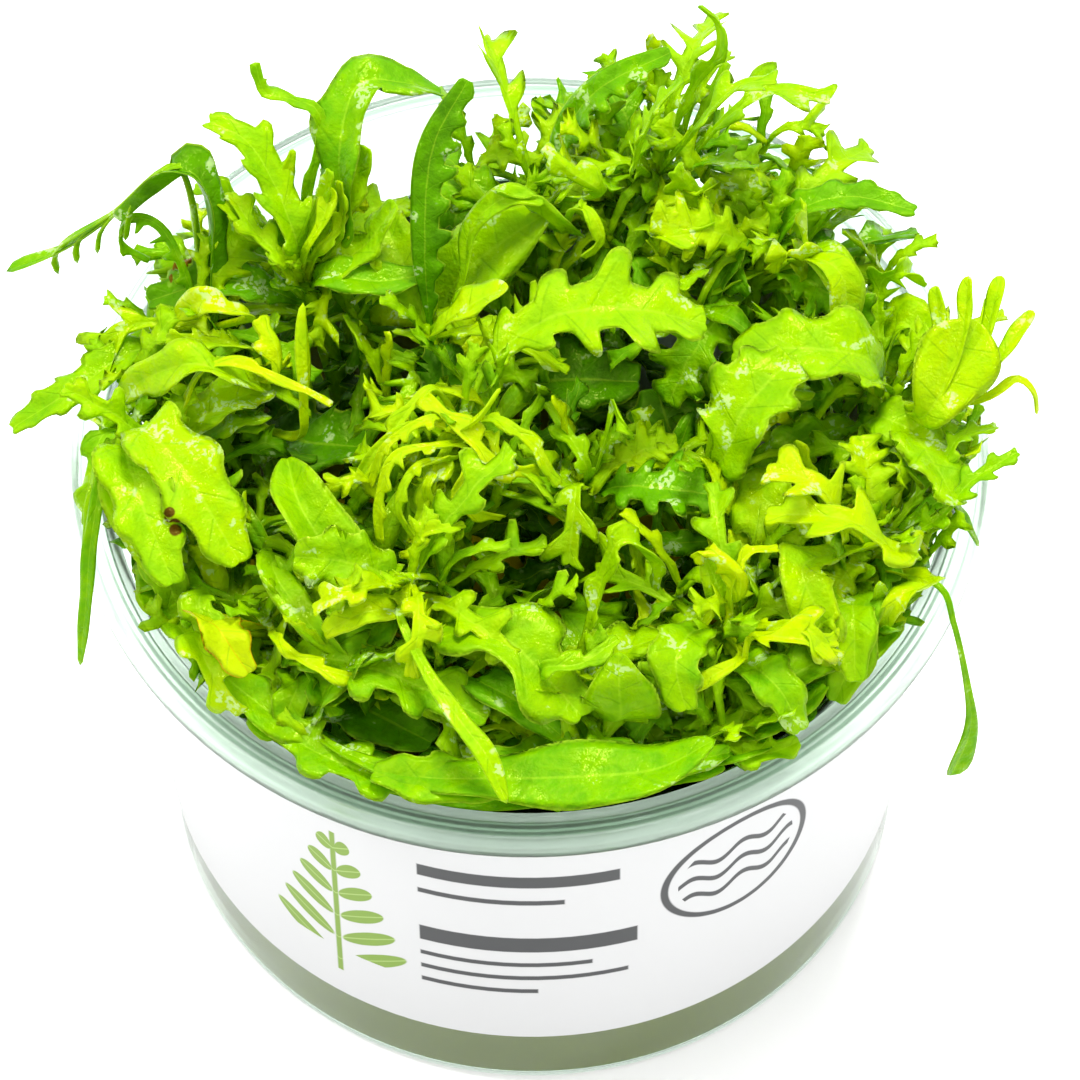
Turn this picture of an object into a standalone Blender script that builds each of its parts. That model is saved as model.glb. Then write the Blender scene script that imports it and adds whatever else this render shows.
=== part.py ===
"""Hygrophila odora plantlets from tissue culture, growing in gel in their open clear cup.

The cup stands on Z = 0 with its axis on Z, and the front of the label faces -Y. Lengths here are
in millimetres and angles in degrees, and they become metres where a mesh is made.
"""

import math
from collections import namedtuple

import bmesh
import bpy
from mathutils import Matrix, Vector

MM = 0.001
UP = Vector((0, 0, 1))
GAP = 0.3  # clearance between neighbouring pieces

# Cup, a thin clear moulding
CUP_HEIGHT = 68.0
CUP_WALL = 0.8
BASE_RADIUS = 41.5
BASE_CORNER = 1.8
WALL_RADIUS = 42.0  # outside of the wall where it meets the step under the flange
LEDGE_HEIGHT = 60.5
STEP_RADIUS = 46.4
FLANGE_RADIUS = 50.0
FLANGE_LIP = 2.7
TURNED_SIDES = 36

# Paper label round the wall
LABEL_BOTTOM = 11.8
LABEL_TOP = 59.0
LABEL_PAPER = 0.3

# Gel, with a pocket for each stem
GEL_TOP = 16.0
ROOTED = 6.0

# Stems, and the young leaves that grow out of them as one
STEM_RADIUS = 1.2
LEAF_CLEAR = 0.7  # from the stem's corners to the foot of a leaf
NODE_HEIGHT = 1.2
BUD_TAPER = 0.4
YOUNG_THICK = 0.55
YOUNG_STATIONS = ((0.35, 0.75, 0), (0.7, 1.0, 8), (1.0, 0.12, 22))  # reach, width, droop
YoungPair = namedtuple("YoungPair", "below_tip rise length half_width")
YOUNG_PAIRS = (
    YoungPair(25.0, 40, 7.0, 2.0),
    YoungPair(13.0, 30, 9.0, 2.3),
    YoungPair(1.6, 74, 8.0, 1.8),
)

# Shoots: where each stem leaves the gel, its tip, and how far it is turned about its axis
Shoot = namedtuple("Shoot", "foot tip turn")
SHOOTS = {
    "back_left": Shoot((-19, 13), (-25, 18, 79), 10),
    "left": Shoot((-30, 8), (-36, 13, 78), 35),
    "left_rim": Shoot((-31, -3), (-40, -4, 75), 5),
    "left_front": Shoot((-22, -18), (-29, -24, 73), 0),
    "front_left": Shoot((-11, -18), (-13, -24, 80), 20),
    "front": Shoot((2, -28), (4, -34, 73), 0),
    "front_right": Shoot((17, -22), (21, -28, 77), 75),
    "right_rim": Shoot((29, -12), (38, -17, 75), 82),
    "right": Shoot((30, 2), (40, 0, 79), 0),
    "back_right": Shoot((20, 14), (27, 18, 82), 25),
    "back": Shoot((11, 23), (15, 30, 84), 45),
    "back_middle": Shoot((0, 21), (1, 28, 79), 90),
    "middle": Shoot((6, -5), (6, -9, 74), 0),
    "middle_left": Shoot((-8, -6), (-7, -5, 83), 30),
    "centre_back": Shoot((-8, 8), (-11, 10, 77), -45),
    "centre_right": Shoot((17, -7), (19, -8, 77), 20),
}

# Forms of the large leaves: lobes on each side, how deep they are cut, where along the blade it
# is widest, how long the bare stalk is, and how far the lobes point forwards
LEAF_THICK = 0.5
STALK_HALF_WIDTH = 0.55
TIP_HALF_WIDTH = 0.3
PLAIN_STATIONS = 4
Form = namedtuple("Form", "lobes cut belly stalk forward")
FERN = Form(6, 0.62, 0.40, 0.22, 0.6)
OAK = Form(4, 0.45, 0.50, 0.20, 0.3)
HAND = Form(3, 0.65, 0.60, 0.25, 1.0)
STAR = Form(2, 0.55, 0.50, 0.25, 0.5)
SAW = Form(5, 0.25, 0.50, 0.15, 0.4)
BROAD = Form(3, 0.22, 0.45, 0.15, 0.3)
PLAIN = Form(0, 0.0, 0.50, 0.15, 0.0)
SPOON = Form(0, 0.0, 0.72, 0.25, 0.0)

# Large leaves: the shoot and the height on its stem where each starts, the points that its midrib
# passes on the way to the tip, half its width, its form, its roll about the midrib, and its fold
Leaf = namedtuple("Leaf", "shoot height route half_width form roll fold", defaults=(0, 0.25))
LEAVES = {
    "far_left": Leaf(
        "left", 73, ((-38, 18, 80), (-40, 22, 87), (-46, 23, 82), (-52, 21, 77), (-57, 20, 74)), 3.0, FERN),
    "lance_left": Leaf("left", 69, ((-42, 9, 75), (-49, 4, 75), (-56, 1, 72)), 2.5, BROAD),
    "upright_left": Leaf("back_left", 75, ((-28, 21, 83), (-31, 25, 88), (-34, 28, 92)), 4.5, OAK),
    "folded_left": Leaf(
        "back_left", 76, ((-20, 23, 82), (-18, 28, 88), (-14, 30, 90), (-9, 29, 89)), 4.5, BROAD),
    "tendril_left": Leaf("back_left", 72, ((-26, 24, 80), (-27, 29, 87), (-27, 31, 91), (-30, 32, 94)), 1.3, STAR),
    "dark_left": Leaf("back_left", 71, ((-30, 19, 74), (-36, 20, 75), (-41, 19, 74)), 3.0, SAW),
    "tall_dark": Leaf("centre_back", 72, ((-11, 15, 84), (-10, 22, 93), (-6, 27, 99)), 2.7, SAW),
    "spatulate": Leaf("centre_back", 74, ((-10, 6, 82), (-7, 6, 86), (-2, 7, 89)), 2.4, SPOON),
    "curved_smooth": Leaf("centre_back", 72, ((-7, 14, 80), (-6, 18, 84), (-2, 20, 87), (2, 19, 87)), 2.0, SPOON),
    "back_sail": Leaf("centre_back", 67, ((-6, 12, 75), (-2, 17, 81), (4, 20, 84)), 3.5, PLAIN),
    "oak_middle": Leaf("middle_left", 80, ((-4, 0, 85), (3, 3, 89), (11, 3, 90), (19, 3, 87)), 6.5, OAK),
    "broad_right": Leaf("centre_right", 75, ((21, -9, 80), (23, -6, 84), (28, -1, 86)), 5.5, BROAD),
    "dark_centre": Leaf("middle", 72, ((10, -11, 77), (14, -12, 78), (19, -14, 78)), 3.5, OAK),
    "curl_back": Leaf("middle_left", 80, ((-10, -4, 86), (-13, -7, 86), (-16, -11, 83), (-16, -15, 79)), 1.6, FERN),
    "curl_front": Leaf("middle_left", 77, ((-8, -9, 84), (-10, -14, 85), (-12, -18, 81)), 1.6, STAR),
    "glossy_left": Leaf("left_rim", 71, ((-37, -9, 79), (-35, -13, 81), (-31, -19, 76)), 5.0, BROAD),
    "under_left": Leaf("left_rim", 67, ((-41, -9, 73), (-39, -14, 75), (-36, -20, 73)), 3.2, PLAIN),
    "hang_left": Leaf(
        "left_rim", 73, ((-45, -7, 77), (-48, -14, 76), (-49, -20, 68), (-49, -23, 60)), 1.4, PLAIN),
    "yellow_left": Leaf("left_front", 69, ((-32, -27, 74), (-33, -30, 76), (-30, -34, 73)), 3.2, SPOON),
    "broad_left_front": Leaf(
        "left_front", 64, ((-26, -28, 71), (-21, -31, 75), (-14, -34, 76), (-5, -38, 74)), 5.0, OAK),
    "boat": Leaf("front_left", 71, ((-18, -23, 76), (-24, -16, 80), (-26, -8, 79)), 3.5, PLAIN, 0, 0.6),
    "drip_front": Leaf(
        "front_left", 74, ((-13, -30, 81), (-11, -37, 81), (-7, -44, 77), (-3, -50, 72)), 1.5, PLAIN),
    "star_front_left": Leaf("front_left", 77, ((-16, -26, 82), (-19, -28, 84), (-23, -29, 82)), 2.2, STAR),
    "centre_front": Leaf("front_left", 69, ((-8, -28, 76), (-2, -32, 79), (5, -38, 76)), 4.5, BROAD),
    "front_rim_left": Leaf("front", 66, ((-1, -40, 72), (-9, -44, 73), (-17, -43, 72)), 3.2, BROAD),
    "front_rim_right": Leaf("front", 68, ((8, -40, 71), (14, -43, 72), (21, -42, 73)), 4.0, OAK),
    "triangle_front": Leaf("front", 70, ((7, -38, 74), (9, -40, 78), (9, -37, 82)), 4.0, STAR),
    "glossy_front_right": Leaf("front_right", 72, ((17, -30, 78), (15, -35, 80), (16, -39, 77)), 3.2, PLAIN),
    "low_front_right": Leaf("front_right", 68, ((23, -33, 76), (26, -37, 77), (28, -40, 74)), 3.0, BROAD),
    "star_right_front": Leaf("front_right", 74, ((26, -30, 79), (29, -32, 81), (32, -34, 78)), 3.0, STAR),
    "yellow_right": Leaf("right_rim", 72, ((33, -19, 80), (29, -19, 84), (23, -17, 83)), 5.0, BROAD),
    "low_right": Leaf("right_rim", 66, ((34, -24, 75), (34, -29, 77), (34, -34, 74)), 3.0, BROAD),
    "fern_right": Leaf("right_rim", 70, ((43, -16, 77), (47, -13, 79), (52, -9, 79)), 2.2, FERN),
    "dangle_right": Leaf(
        "right_rim", 68, ((43, -21, 75), (45, -25, 68), (46, -29, 58), (45, -32, 50)), 1.2, SPOON),
    "hand_right": Leaf("right", 76, ((44, -1, 82), (47, 2, 86), (52, 6, 89)), 5.5, HAND),
    "wide_right": Leaf("right", 73, ((34, 1, 80), (28, 2, 83), (21, 2, 82)), 5.0, BROAD),
    "back_right_dark": Leaf("back_right", 74, ((32, 19, 82), (37, 19, 86), (42, 17, 85)), 2.8, SAW),
    "dark_top": Leaf("back_middle", 72, ((4, 32, 80), (8, 34, 87), (16, 36, 91)), 3.2, SAW),
    "tall_back": Leaf("back", 77, ((18, 32, 89), (21, 32, 96), (21, 34, 99), (19, 35, 101)), 2.0, STAR),
    "flag_back": Leaf("back", 74, ((21, 29, 87), (27, 30, 92), (33, 28, 93)), 3.0, HAND),
    "bright_back": Leaf("back", 74, ((15, 24, 79), (17, 21, 83), (20, 18, 82)), 3.2, OAK),
}


def clear_scene():
    """Remove whatever the file started with."""
    for obj in list(bpy.data.objects):
        bpy.data.objects.remove(obj, do_unlink=True)


def material(name, colour, roughness, transmission=0.0):
    """Principled material of one sub-part."""
    made = bpy.data.materials.new(name)
    made.use_nodes = True
    shader = made.node_tree.nodes["Principled BSDF"]
    shader.inputs["Base Color"].default_value = (*colour, 1)
    shader.inputs["Roughness"].default_value = roughness
    shader.inputs["Metallic"].default_value = 0.0
    shader.inputs["Transmission Weight"].default_value = transmission
    return made


def finished(name, bm, finish):
    """Turn a mesh in millimetres into an object of the scene, in metres."""
    bmesh.ops.transform(bm, matrix=Matrix.Scale(MM, 4), verts=bm.verts)
    mesh = bpy.data.meshes.new(name)
    bm.to_mesh(mesh)
    bm.free()
    mesh.materials.append(finish)
    obj = bpy.data.objects.new(name, mesh)
    bpy.context.scene.collection.objects.link(obj)
    return obj


def turned(name, profile, finish, closed=False):
    """Spin a profile of (radius, height) points round the cup's axis."""
    bm = bmesh.new()
    verts = [bm.verts.new((radius, 0, height)) for radius, height in profile]
    ends = verts[1:] + verts[:1] if closed else verts[1:]
    edges = [bm.edges.new(pair) for pair in zip(verts, ends)]
    bmesh.ops.spin(
        bm, geom=verts + edges, cent=(0, 0, 0), axis=UP, dvec=(0, 0, 0),
        angle=2 * math.pi, steps=TURNED_SIDES, use_merge=True, use_duplicate=False)
    bmesh.ops.remove_doubles(bm, verts=bm.verts, dist=1e-4)
    bmesh.ops.recalc_face_normals(bm, faces=bm.faces)
    for face in bm.faces:
        face.smooth = True
    obj = finished(name, bm, finish)
    obj.data.set_sharp_from_angle(angle=math.radians(35))
    return obj


def wall_radius(height):
    """Outer radius of the cup's wall, which widens a little from the base corner to the ledge."""
    along = (height - BASE_CORNER) / (LEDGE_HEIGHT - BASE_CORNER)
    return BASE_RADIUS + (WALL_RADIUS - BASE_RADIUS) * along


def make_cup(finish):
    """Clear cup: base, corner, wall, step and flange outside, and the same shape inside."""
    corner = [
        (BASE_RADIUS - BASE_CORNER * (1 - math.sin(math.radians(a))),
         BASE_CORNER * (1 - math.cos(math.radians(a)))) for a in (0, 30, 60, 90)]
    inner_corner = [
        (BASE_RADIUS - CUP_WALL - (BASE_CORNER - CUP_WALL) * (1 - math.sin(math.radians(a))),
         CUP_WALL + (BASE_CORNER - CUP_WALL) * (1 - math.cos(math.radians(a)))) for a in (90, 45, 0)]
    under = CUP_HEIGHT - CUP_WALL
    outside = [
        (0, 0), *corner,
        (WALL_RADIUS, LEDGE_HEIGHT),
        (STEP_RADIUS - 0.4, LEDGE_HEIGHT + 0.9),
        (STEP_RADIUS, LEDGE_HEIGHT + 1.6),
        (STEP_RADIUS + 0.2, under),
        (FLANGE_RADIUS - CUP_WALL, under - 0.1),
        (FLANGE_RADIUS - CUP_WALL, CUP_HEIGHT - FLANGE_LIP),
        (FLANGE_RADIUS, CUP_HEIGHT - FLANGE_LIP),
        (FLANGE_RADIUS, CUP_HEIGHT - 0.7),
        (FLANGE_RADIUS - 0.6, CUP_HEIGHT),
    ]
    inside = [
        (STEP_RADIUS - 0.2, CUP_HEIGHT),
        (STEP_RADIUS - 0.7, CUP_HEIGHT - 0.6),
        (STEP_RADIUS - 0.9, LEDGE_HEIGHT + 2.0),
        (WALL_RADIUS - CUP_WALL, LEDGE_HEIGHT + 0.8),
        *inner_corner,
        (0, CUP_WALL),
    ]
    return turned("cup", outside + inside, finish)


def make_label(finish):
    """Paper wrap that lies on the wall all the way round."""
    profile = [
        (wall_radius(height) + clear, height)
        for height, clear in (
            (LABEL_BOTTOM, GAP), (LABEL_BOTTOM, GAP + LABEL_PAPER),
            (LABEL_TOP, GAP + LABEL_PAPER), (LABEL_TOP, GAP))]
    return turned("label", profile, finish, closed=True)


def stem_point(shoot, height):
    """Middle of a stem, which leaves the gel upright and leans more the higher it is."""
    foot_z = GEL_TOP - ROOTED + GAP
    lean = ((height - foot_z) / (shoot.tip[2] - foot_z)) ** 3
    foot, tip = Vector(shoot.foot), Vector(shoot.tip[:2])
    return (foot + (tip - foot) * lean).to_3d() + UP * height


def polar(radius, angle):
    """Offset of a length in the XY plane, at an angle in degrees from +X."""
    return Vector((radius * math.cos(math.radians(angle)), radius * math.sin(math.radians(angle)), 0))


def square_stem(bm, rings, turn):
    """Closed square stem through rings of (centre, corner radius)."""
    centre, radius = rings[0]
    place = Matrix.Translation(centre) @ Matrix.Rotation(math.radians(turn), 4, "Z")
    foot = bmesh.ops.create_circle(bm, cap_ends=True, segments=4, radius=radius, matrix=place)
    top = foot["verts"][0].link_faces[0]
    for (below, old_radius), (above, new_radius) in zip(rings, rings[1:]):
        started = len(top.verts[0].link_faces) > 1
        grown = bmesh.ops.extrude_face_region(bm, geom=[top])["geom"]
        if started:
            bmesh.ops.delete(bm, geom=[top], context="FACES_ONLY")
        corners = [item for item in grown if isinstance(item, bmesh.types.BMVert)]
        top = next(item for item in grown if isinstance(item, bmesh.types.BMFace))
        bmesh.ops.translate(bm, vec=above - below, verts=corners)
        bmesh.ops.scale(
            bm, vec=(new_radius / old_radius,) * 3, space=Matrix.Translation(-above), verts=corners)


def grow_young_leaf(bm, face, outward, pair):
    """Draw one side face of the stem out into a small leaf that rises and then arches over."""
    across = outward.cross(UP)
    root = face.calc_center_median()
    corners = [((v.co - root).dot(across) > 0, (v.co - root).z > 0) for v in face.verts]
    for reach, width, droop in YOUNG_STATIONS:
        rise = math.radians(pair.rise - droop)
        ahead = outward * math.cos(rise) + UP * math.sin(rise)
        middle = root + ahead * pair.length * reach
        half_thick = across.cross(ahead) * YOUNG_THICK / 2
        half_width = across * pair.half_width * width
        face = bmesh.ops.extrude_discrete_faces(bm, faces=[face])["faces"][0]
        for vert, (right, above) in zip(face.verts, corners):
            vert.co = middle + (half_width if right else -half_width) + (half_thick if above else -half_thick)


def make_shoot(name, shoot, finish):
    """One plantlet: its stem from the gel to the bud, and its young leaves in crossed pairs."""
    tip_z = shoot.tip[2]
    heights = [GEL_TOP - ROOTED + GAP, GEL_TOP + 1]
    for pair in YOUNG_PAIRS:
        node = tip_z - pair.below_tip
        heights += [node - NODE_HEIGHT / 2, node + NODE_HEIGHT / 2]
    rings = [(stem_point(shoot, height), STEM_RADIUS) for height in heights]
    rings.append((stem_point(shoot, tip_z), BUD_TAPER * STEM_RADIUS))

    bm = bmesh.new()
    square_stem(bm, rings, shoot.turn)
    for order, pair in enumerate(YOUNG_PAIRS):
        node = stem_point(shoot, tip_z - pair.below_tip)
        sides = [f for f in bm.faces if abs(f.calc_center_median().z - node.z) < NODE_HEIGHT / 4]
        directions = [polar(1, shoot.turn + 45 + 90 * side) for side in range(order % 2, 4, 2)]
        facing = [max(sides, key=lambda f: (f.calc_center_median() - node).dot(d)) for d in directions]
        for face, outward in zip(facing, directions):
            grow_young_leaf(bm, face, outward, pair)
    bmesh.ops.recalc_face_normals(bm, faces=bm.faces)
    return finished("shoot_" + name, bm, finish)


def make_gel(finish):
    """Gel that fills the bottom of the cup, with a square pocket round the foot of each stem."""
    inner = [
        (BASE_RADIUS - CUP_WALL - GAP - (BASE_CORNER - CUP_WALL) * (1 - math.sin(math.radians(a))),
         CUP_WALL + GAP + (BASE_CORNER - CUP_WALL) * (1 - math.cos(math.radians(a)))) for a in (0, 45, 90)]
    top = (wall_radius(GEL_TOP) - CUP_WALL - GAP, GEL_TOP)
    gel = turned("gel", [(0, CUP_WALL + GAP), *inner, top, (0, GEL_TOP)], finish)

    bm = bmesh.new()
    for shoot in SHOOTS.values():
        ends = [(stem_point(shoot, GEL_TOP - ROOTED), STEM_RADIUS + 2 * GAP)]
        ends.append((ends[0][0] + UP * 2 * ROOTED, STEM_RADIUS + 2 * GAP))
        square_stem(bm, ends, shoot.turn)
    bmesh.ops.recalc_face_normals(bm, faces=bm.faces)
    pockets = finished("gel_pockets", bm, finish)
    pockets.hide_render = True
    pockets.display_type = "WIRE"
    cut = gel.modifiers.new("Pockets", "BOOLEAN")
    cut.operation = "DIFFERENCE"
    cut.object = pockets
    return gel


def curve_point(points, along):
    """Point at a share from 0 to 1 of the way along a smooth curve through the points."""
    lengths = [(b - a).length for a, b in zip(points, points[1:])]
    reach = min(max(along, 0), 1) * sum(lengths)
    step = 0
    while step < len(lengths) - 1 and reach > lengths[step]:
        reach -= lengths[step]
        step += 1
    t = reach / lengths[step]
    start, end = points[step], points[step + 1]
    before = points[step - 1] if step else start * 2 - end
    after = points[step + 2] if step + 2 < len(points) else end * 2 - start
    return 0.5 * (
        2 * start + (end - before) * t + (2 * before - 5 * start + 4 * end - after) * t ** 2
        + (3 * start - before - 3 * end + after) * t ** 3)


def blade_half_width(leaf, side, share):
    """Half width of the blade at a share of its length, with lobes that alternate on its sides."""
    form = leaf.form
    edge = STALK_HALF_WIDTH + (TIP_HALF_WIDTH - STALK_HALF_WIDTH) * share
    swell = math.sin(math.pi * share ** (math.log(0.5) / math.log(form.belly)))
    width = edge + (leaf.half_width - edge) * max(swell, 0) ** 0.75
    wave = 0.5 + 0.5 * side * math.cos(2 * math.pi * form.lobes * share)
    return max(width * (1 - form.cut * wave), TIP_HALF_WIDTH)


def leaf_points(leaf):
    """Points of a leaf's midrib, from the side of its stem to its tip."""
    shoot = SHOOTS[leaf.shoot]
    stem = stem_point(shoot, leaf.height)
    away = Vector(leaf.route[0]) - stem
    away.z = 0
    return [stem + away.normalized() * (STEM_RADIUS + LEAF_CLEAR), *map(Vector, leaf.route)]


def make_leaf(name, leaf, finish):
    """Leaf as a sheet of two strips of faces along its midrib, given its thickness."""
    stations = 2 * leaf.form.lobes or PLAIN_STATIONS
    rows = stations + 1
    points = leaf_points(leaf)
    heading = (points[-1] - points[0]).cross(UP).normalized()

    bm = bmesh.new()
    bmesh.ops.create_grid(bm, x_segments=2, y_segments=rows, size=1)
    for vert in bm.verts:
        side = round(vert.co.x)
        row = round((vert.co.y + 1) / 2 * rows)
        share = (row - 1) / stations
        stalk = leaf.form.stalk
        along = stalk + (1 - stalk) * share if row else 0
        width = blade_half_width(leaf, side, share) if row > 1 else STALK_HALF_WIDTH
        middle = curve_point(points, along)
        ahead = (curve_point(points, along + 0.01) - curve_point(points, along - 0.01)).normalized()
        across = (heading - ahead * heading.dot(ahead)).normalized()
        across.rotate(Matrix.Rotation(math.radians(leaf.roll), 3, ahead))
        rise = across.cross(ahead) * leaf.fold
        vert.co = middle + (across * side + (ahead * leaf.form.forward + rise) * abs(side)) * width
    obj = finished("leaf_" + name, bm, finish)
    sheet = obj.modifiers.new("Thickness", "SOLIDIFY")
    sheet.thickness = LEAF_THICK * MM
    sheet.offset = 0
    return obj


def build():
    """Make every piece of the cup and its plants."""
    clear_scene()
    make_cup(material("clear_plastic", (0.80, 0.90, 0.86), 0.12, transmission=0.9))
    make_label(material("paper", (0.86, 0.87, 0.87), 0.55))
    make_gel(material("gel", (0.36, 0.40, 0.17), 0.2))
    stem_green = material("young_green", (0.28, 0.62, 0.02), 0.35)
    leaf_green = material("leaf_green", (0.20, 0.52, 0.01), 0.25)
    for name, shoot in SHOOTS.items():
        make_shoot(name, shoot, stem_green)
    for name, leaf in LEAVES.items():
        make_leaf(name, leaf, leaf_green)


build()
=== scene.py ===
"""Looks of the Hygrophila odora plantlets in their clear cup. Lengths are in millimetres and angles
in degrees. The lengths become metres where a mesh is made.
"""

import math
import random
from collections import namedtuple

import bmesh
import bpy
import numpy as np
from mathutils import Matrix, Vector


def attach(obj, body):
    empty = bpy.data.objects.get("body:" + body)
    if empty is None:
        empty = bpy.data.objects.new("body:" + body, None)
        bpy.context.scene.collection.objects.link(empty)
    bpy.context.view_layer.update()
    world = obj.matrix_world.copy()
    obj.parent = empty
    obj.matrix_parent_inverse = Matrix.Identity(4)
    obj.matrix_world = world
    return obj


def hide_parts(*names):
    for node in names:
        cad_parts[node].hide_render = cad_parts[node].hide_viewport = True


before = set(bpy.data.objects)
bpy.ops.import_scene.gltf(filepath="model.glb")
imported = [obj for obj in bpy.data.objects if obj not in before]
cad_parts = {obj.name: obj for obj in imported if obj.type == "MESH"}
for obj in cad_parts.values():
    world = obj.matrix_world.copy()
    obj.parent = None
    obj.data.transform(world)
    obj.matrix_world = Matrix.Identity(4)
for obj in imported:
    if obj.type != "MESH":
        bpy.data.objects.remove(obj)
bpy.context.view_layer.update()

# Studio: a white floor, a bright even room, a large soft light over the heap, a smaller one at each
# side, and two small bright ones whose glints show on the wet leaves. The camera looks down on the
# cup from the front.
MM = 0.001
UP = Vector((0, 0, 1))
FLOOR_HALF, FLOOR_GLOW = 6.0, 0.35
ROOM_LIGHT = 0.75
HEAP_MIDDLE = (0, 0, 0.07)
CAMERA_DISTANCE, CAMERA_ELEVATION = 0.816, 56.93
CAMERA_PITCH, CAMERA_YAW, CAMERA_ROLL = 0.705, 0.126, -0.80
CAMERA_LENS, CAMERA_SENSOR = 250.0, 36.0
RIM_HEIGHT = 0.068

scene = bpy.context.scene
scene.view_settings.view_transform = "Standard"
scene.cycles.max_bounces = 8
scene.cycles.diffuse_bounces = 2
scene.cycles.glossy_bounces = 4
scene.cycles.transmission_bounces = 8
scene.cycles.adaptive_threshold = 0.05
scene.cycles.caustics_reflective = False
world = bpy.data.worlds.new("bright_room")
world.use_nodes = True
world.node_tree.nodes["Background"].inputs["Color"].default_value = (1.0, 1.0, 1.0, 1)
world.node_tree.nodes["Background"].inputs["Strength"].default_value = ROOM_LIGHT
scene.world = world


def softbox(name, place, size, power):
    """Square area light at a place, turned towards the heap."""
    lamp = bpy.data.lights.new(name, "AREA")
    lamp.shape = "SQUARE"
    lamp.size = size
    lamp.energy = power
    light = bpy.data.objects.new(name, lamp)
    light.location = place
    light.rotation_euler = (Vector(HEAP_MIDDLE) - Vector(place)).to_track_quat("-Z", "Y").to_euler()
    scene.collection.objects.link(light)


softbox("overhead_softbox", (0.1, 0.35, 0.95), 0.3, 10.0)
softbox("left_softbox", (-0.6, 0.0, 0.7), 0.12, 3.0)
softbox("right_softbox", (0.5, -0.5, 0.6), 0.12, 1.5)
softbox("left_spark", (-0.35, -0.5, 0.85), 0.03, 0.5)
softbox("back_spark", (0.25, 0.6, 0.7), 0.03, 0.5)

rise = math.radians(CAMERA_ELEVATION)
dip = math.radians(CAMERA_ELEVATION + CAMERA_PITCH)
yaw, roll = math.radians(CAMERA_YAW), math.radians(CAMERA_ROLL)
forward = Vector((math.sin(yaw) * math.cos(dip), math.cos(yaw) * math.cos(dip), -math.sin(dip)))
right = forward.cross(UP).normalized()
above = right.cross(forward)
turned_right = right * math.cos(roll) + above * math.sin(roll)
turned_up = above * math.cos(roll) - right * math.sin(roll)
eye = Vector((0, -math.cos(rise), math.sin(rise))) * CAMERA_DISTANCE + UP * RIM_HEIGHT
camera = bpy.data.objects.new("camera", bpy.data.cameras.new("camera"))
camera.data.lens = CAMERA_LENS
camera.data.sensor_width = CAMERA_SENSOR
facing = Matrix((turned_right, turned_up, -forward)).transposed()
camera.matrix_world = Matrix.Translation(eye) @ facing.to_4x4()
scene.collection.objects.link(camera)
scene.camera = camera


def shaded(name, colour, roughness, **values):
    """Principled material, its node tree and its shader; values are further sockets."""
    made = bpy.data.materials.new(name)
    made.use_nodes = True
    tree = made.node_tree
    shader = tree.nodes["Principled BSDF"]
    if colour is not None:
        shader.inputs["Base Color"].default_value = (*colour, 1)
    shader.inputs["Roughness"].default_value = roughness
    for socket, value in values.items():
        shader.inputs[socket.replace("_", " ")].default_value = value
    return made, tree, shader


def in_metres(name, bm, finish):
    """Turn a mesh in millimetres into a smooth piece of the scene, with its faces pointing outwards."""
    bmesh.ops.recalc_face_normals(bm, faces=bm.faces)
    bmesh.ops.transform(bm, matrix=Matrix.Scale(MM, 4), verts=bm.verts)
    for face in bm.faces:
        face.smooth = True
    mesh = bpy.data.meshes.new(name)
    bm.to_mesh(mesh)
    bm.free()
    mesh.materials.append(finish)
    obj = bpy.data.objects.new(name, mesh)
    scene.collection.objects.link(obj)
    return obj


floor_mesh = bmesh.new()
bmesh.ops.create_grid(floor_mesh, x_segments=1, y_segments=1, size=FLOOR_HALF / MM)
white_floor = shaded(
    "white_floor", (0.92, 0.92, 0.92), 0.6, Emission_Color=(1, 1, 1, 1), Emission_Strength=FLOOR_GLOW)[0]
floor = in_metres("studio_floor", floor_mesh, white_floor)


# Cup: a thin clear polypropylene moulding. Its flat flange has fine rings left by the mould and a
# turned-down lip, and the wall steps in below it. The flange is cloudier than the wall, and its
# darker, greener tint is partly the extra plastic and partly painted shade of the hollow seen through it.
CUP_HEIGHT, CUP_WALL = 68.0, 0.8
BASE_RADIUS, BASE_CORNER = 41.5, 1.8
WALL_RADIUS, LEDGE_HEIGHT = 42.0, 60.5
STEP_RADIUS, FLANGE_RADIUS, FLANGE_LIP = 46.4, 50.0, 2.7
RING_PITCH, RING_WIDTH, RING_GROOVE, RING_HEIGHT, RINGS = 0.8, 0.6, 0.15, 0.12, 3
FOOT_RADIUS, FOOT_RISE = 31.0, 0.5  # of the ring that the cup stands on, round its raised middle
CUP_STEPS, WELD = 144, 1e-4
SHARP = math.radians(40)  # edges that bend more than this aren't shaded as round
# The flange's tint is darker and greener than the wall's, partly painted shade of the hollow seen through
# it.
WALL_TINT, FLANGE_TINT_AND_SHADE, TINT_BLEND = (0.73, 0.89, 0.77), (0.60, 0.76, 0.63), 2.0
WALL_ROUGHNESS, FLANGE_CLOUDINESS = 0.10, 0.18


def corner_arc(radius, height, size, start, end, steps):
    """Points round a corner whose centre is at (radius, height), from one angle to another."""
    angles = [math.radians(start + (end - start) * step / steps) for step in range(steps + 1)]
    return [(radius + size * math.cos(a), height + size * math.sin(a)) for a in angles]


def turned(bm, profile, steps):
    """Spin a closed profile of (radius, height) points round the cup's axis."""
    verts = [bm.verts.new((radius, 0, height)) for radius, height in profile]
    edges = [bm.edges.new(pair) for pair in zip(verts, verts[1:])]
    bmesh.ops.spin(
        bm, geom=verts + edges, cent=(0, 0, 0), axis=UP, dvec=(0, 0, 0),
        angle=2 * math.pi, steps=steps, use_merge=True, use_duplicate=False)
    bmesh.ops.remove_doubles(bm, verts=bm.verts, dist=WELD)


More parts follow.
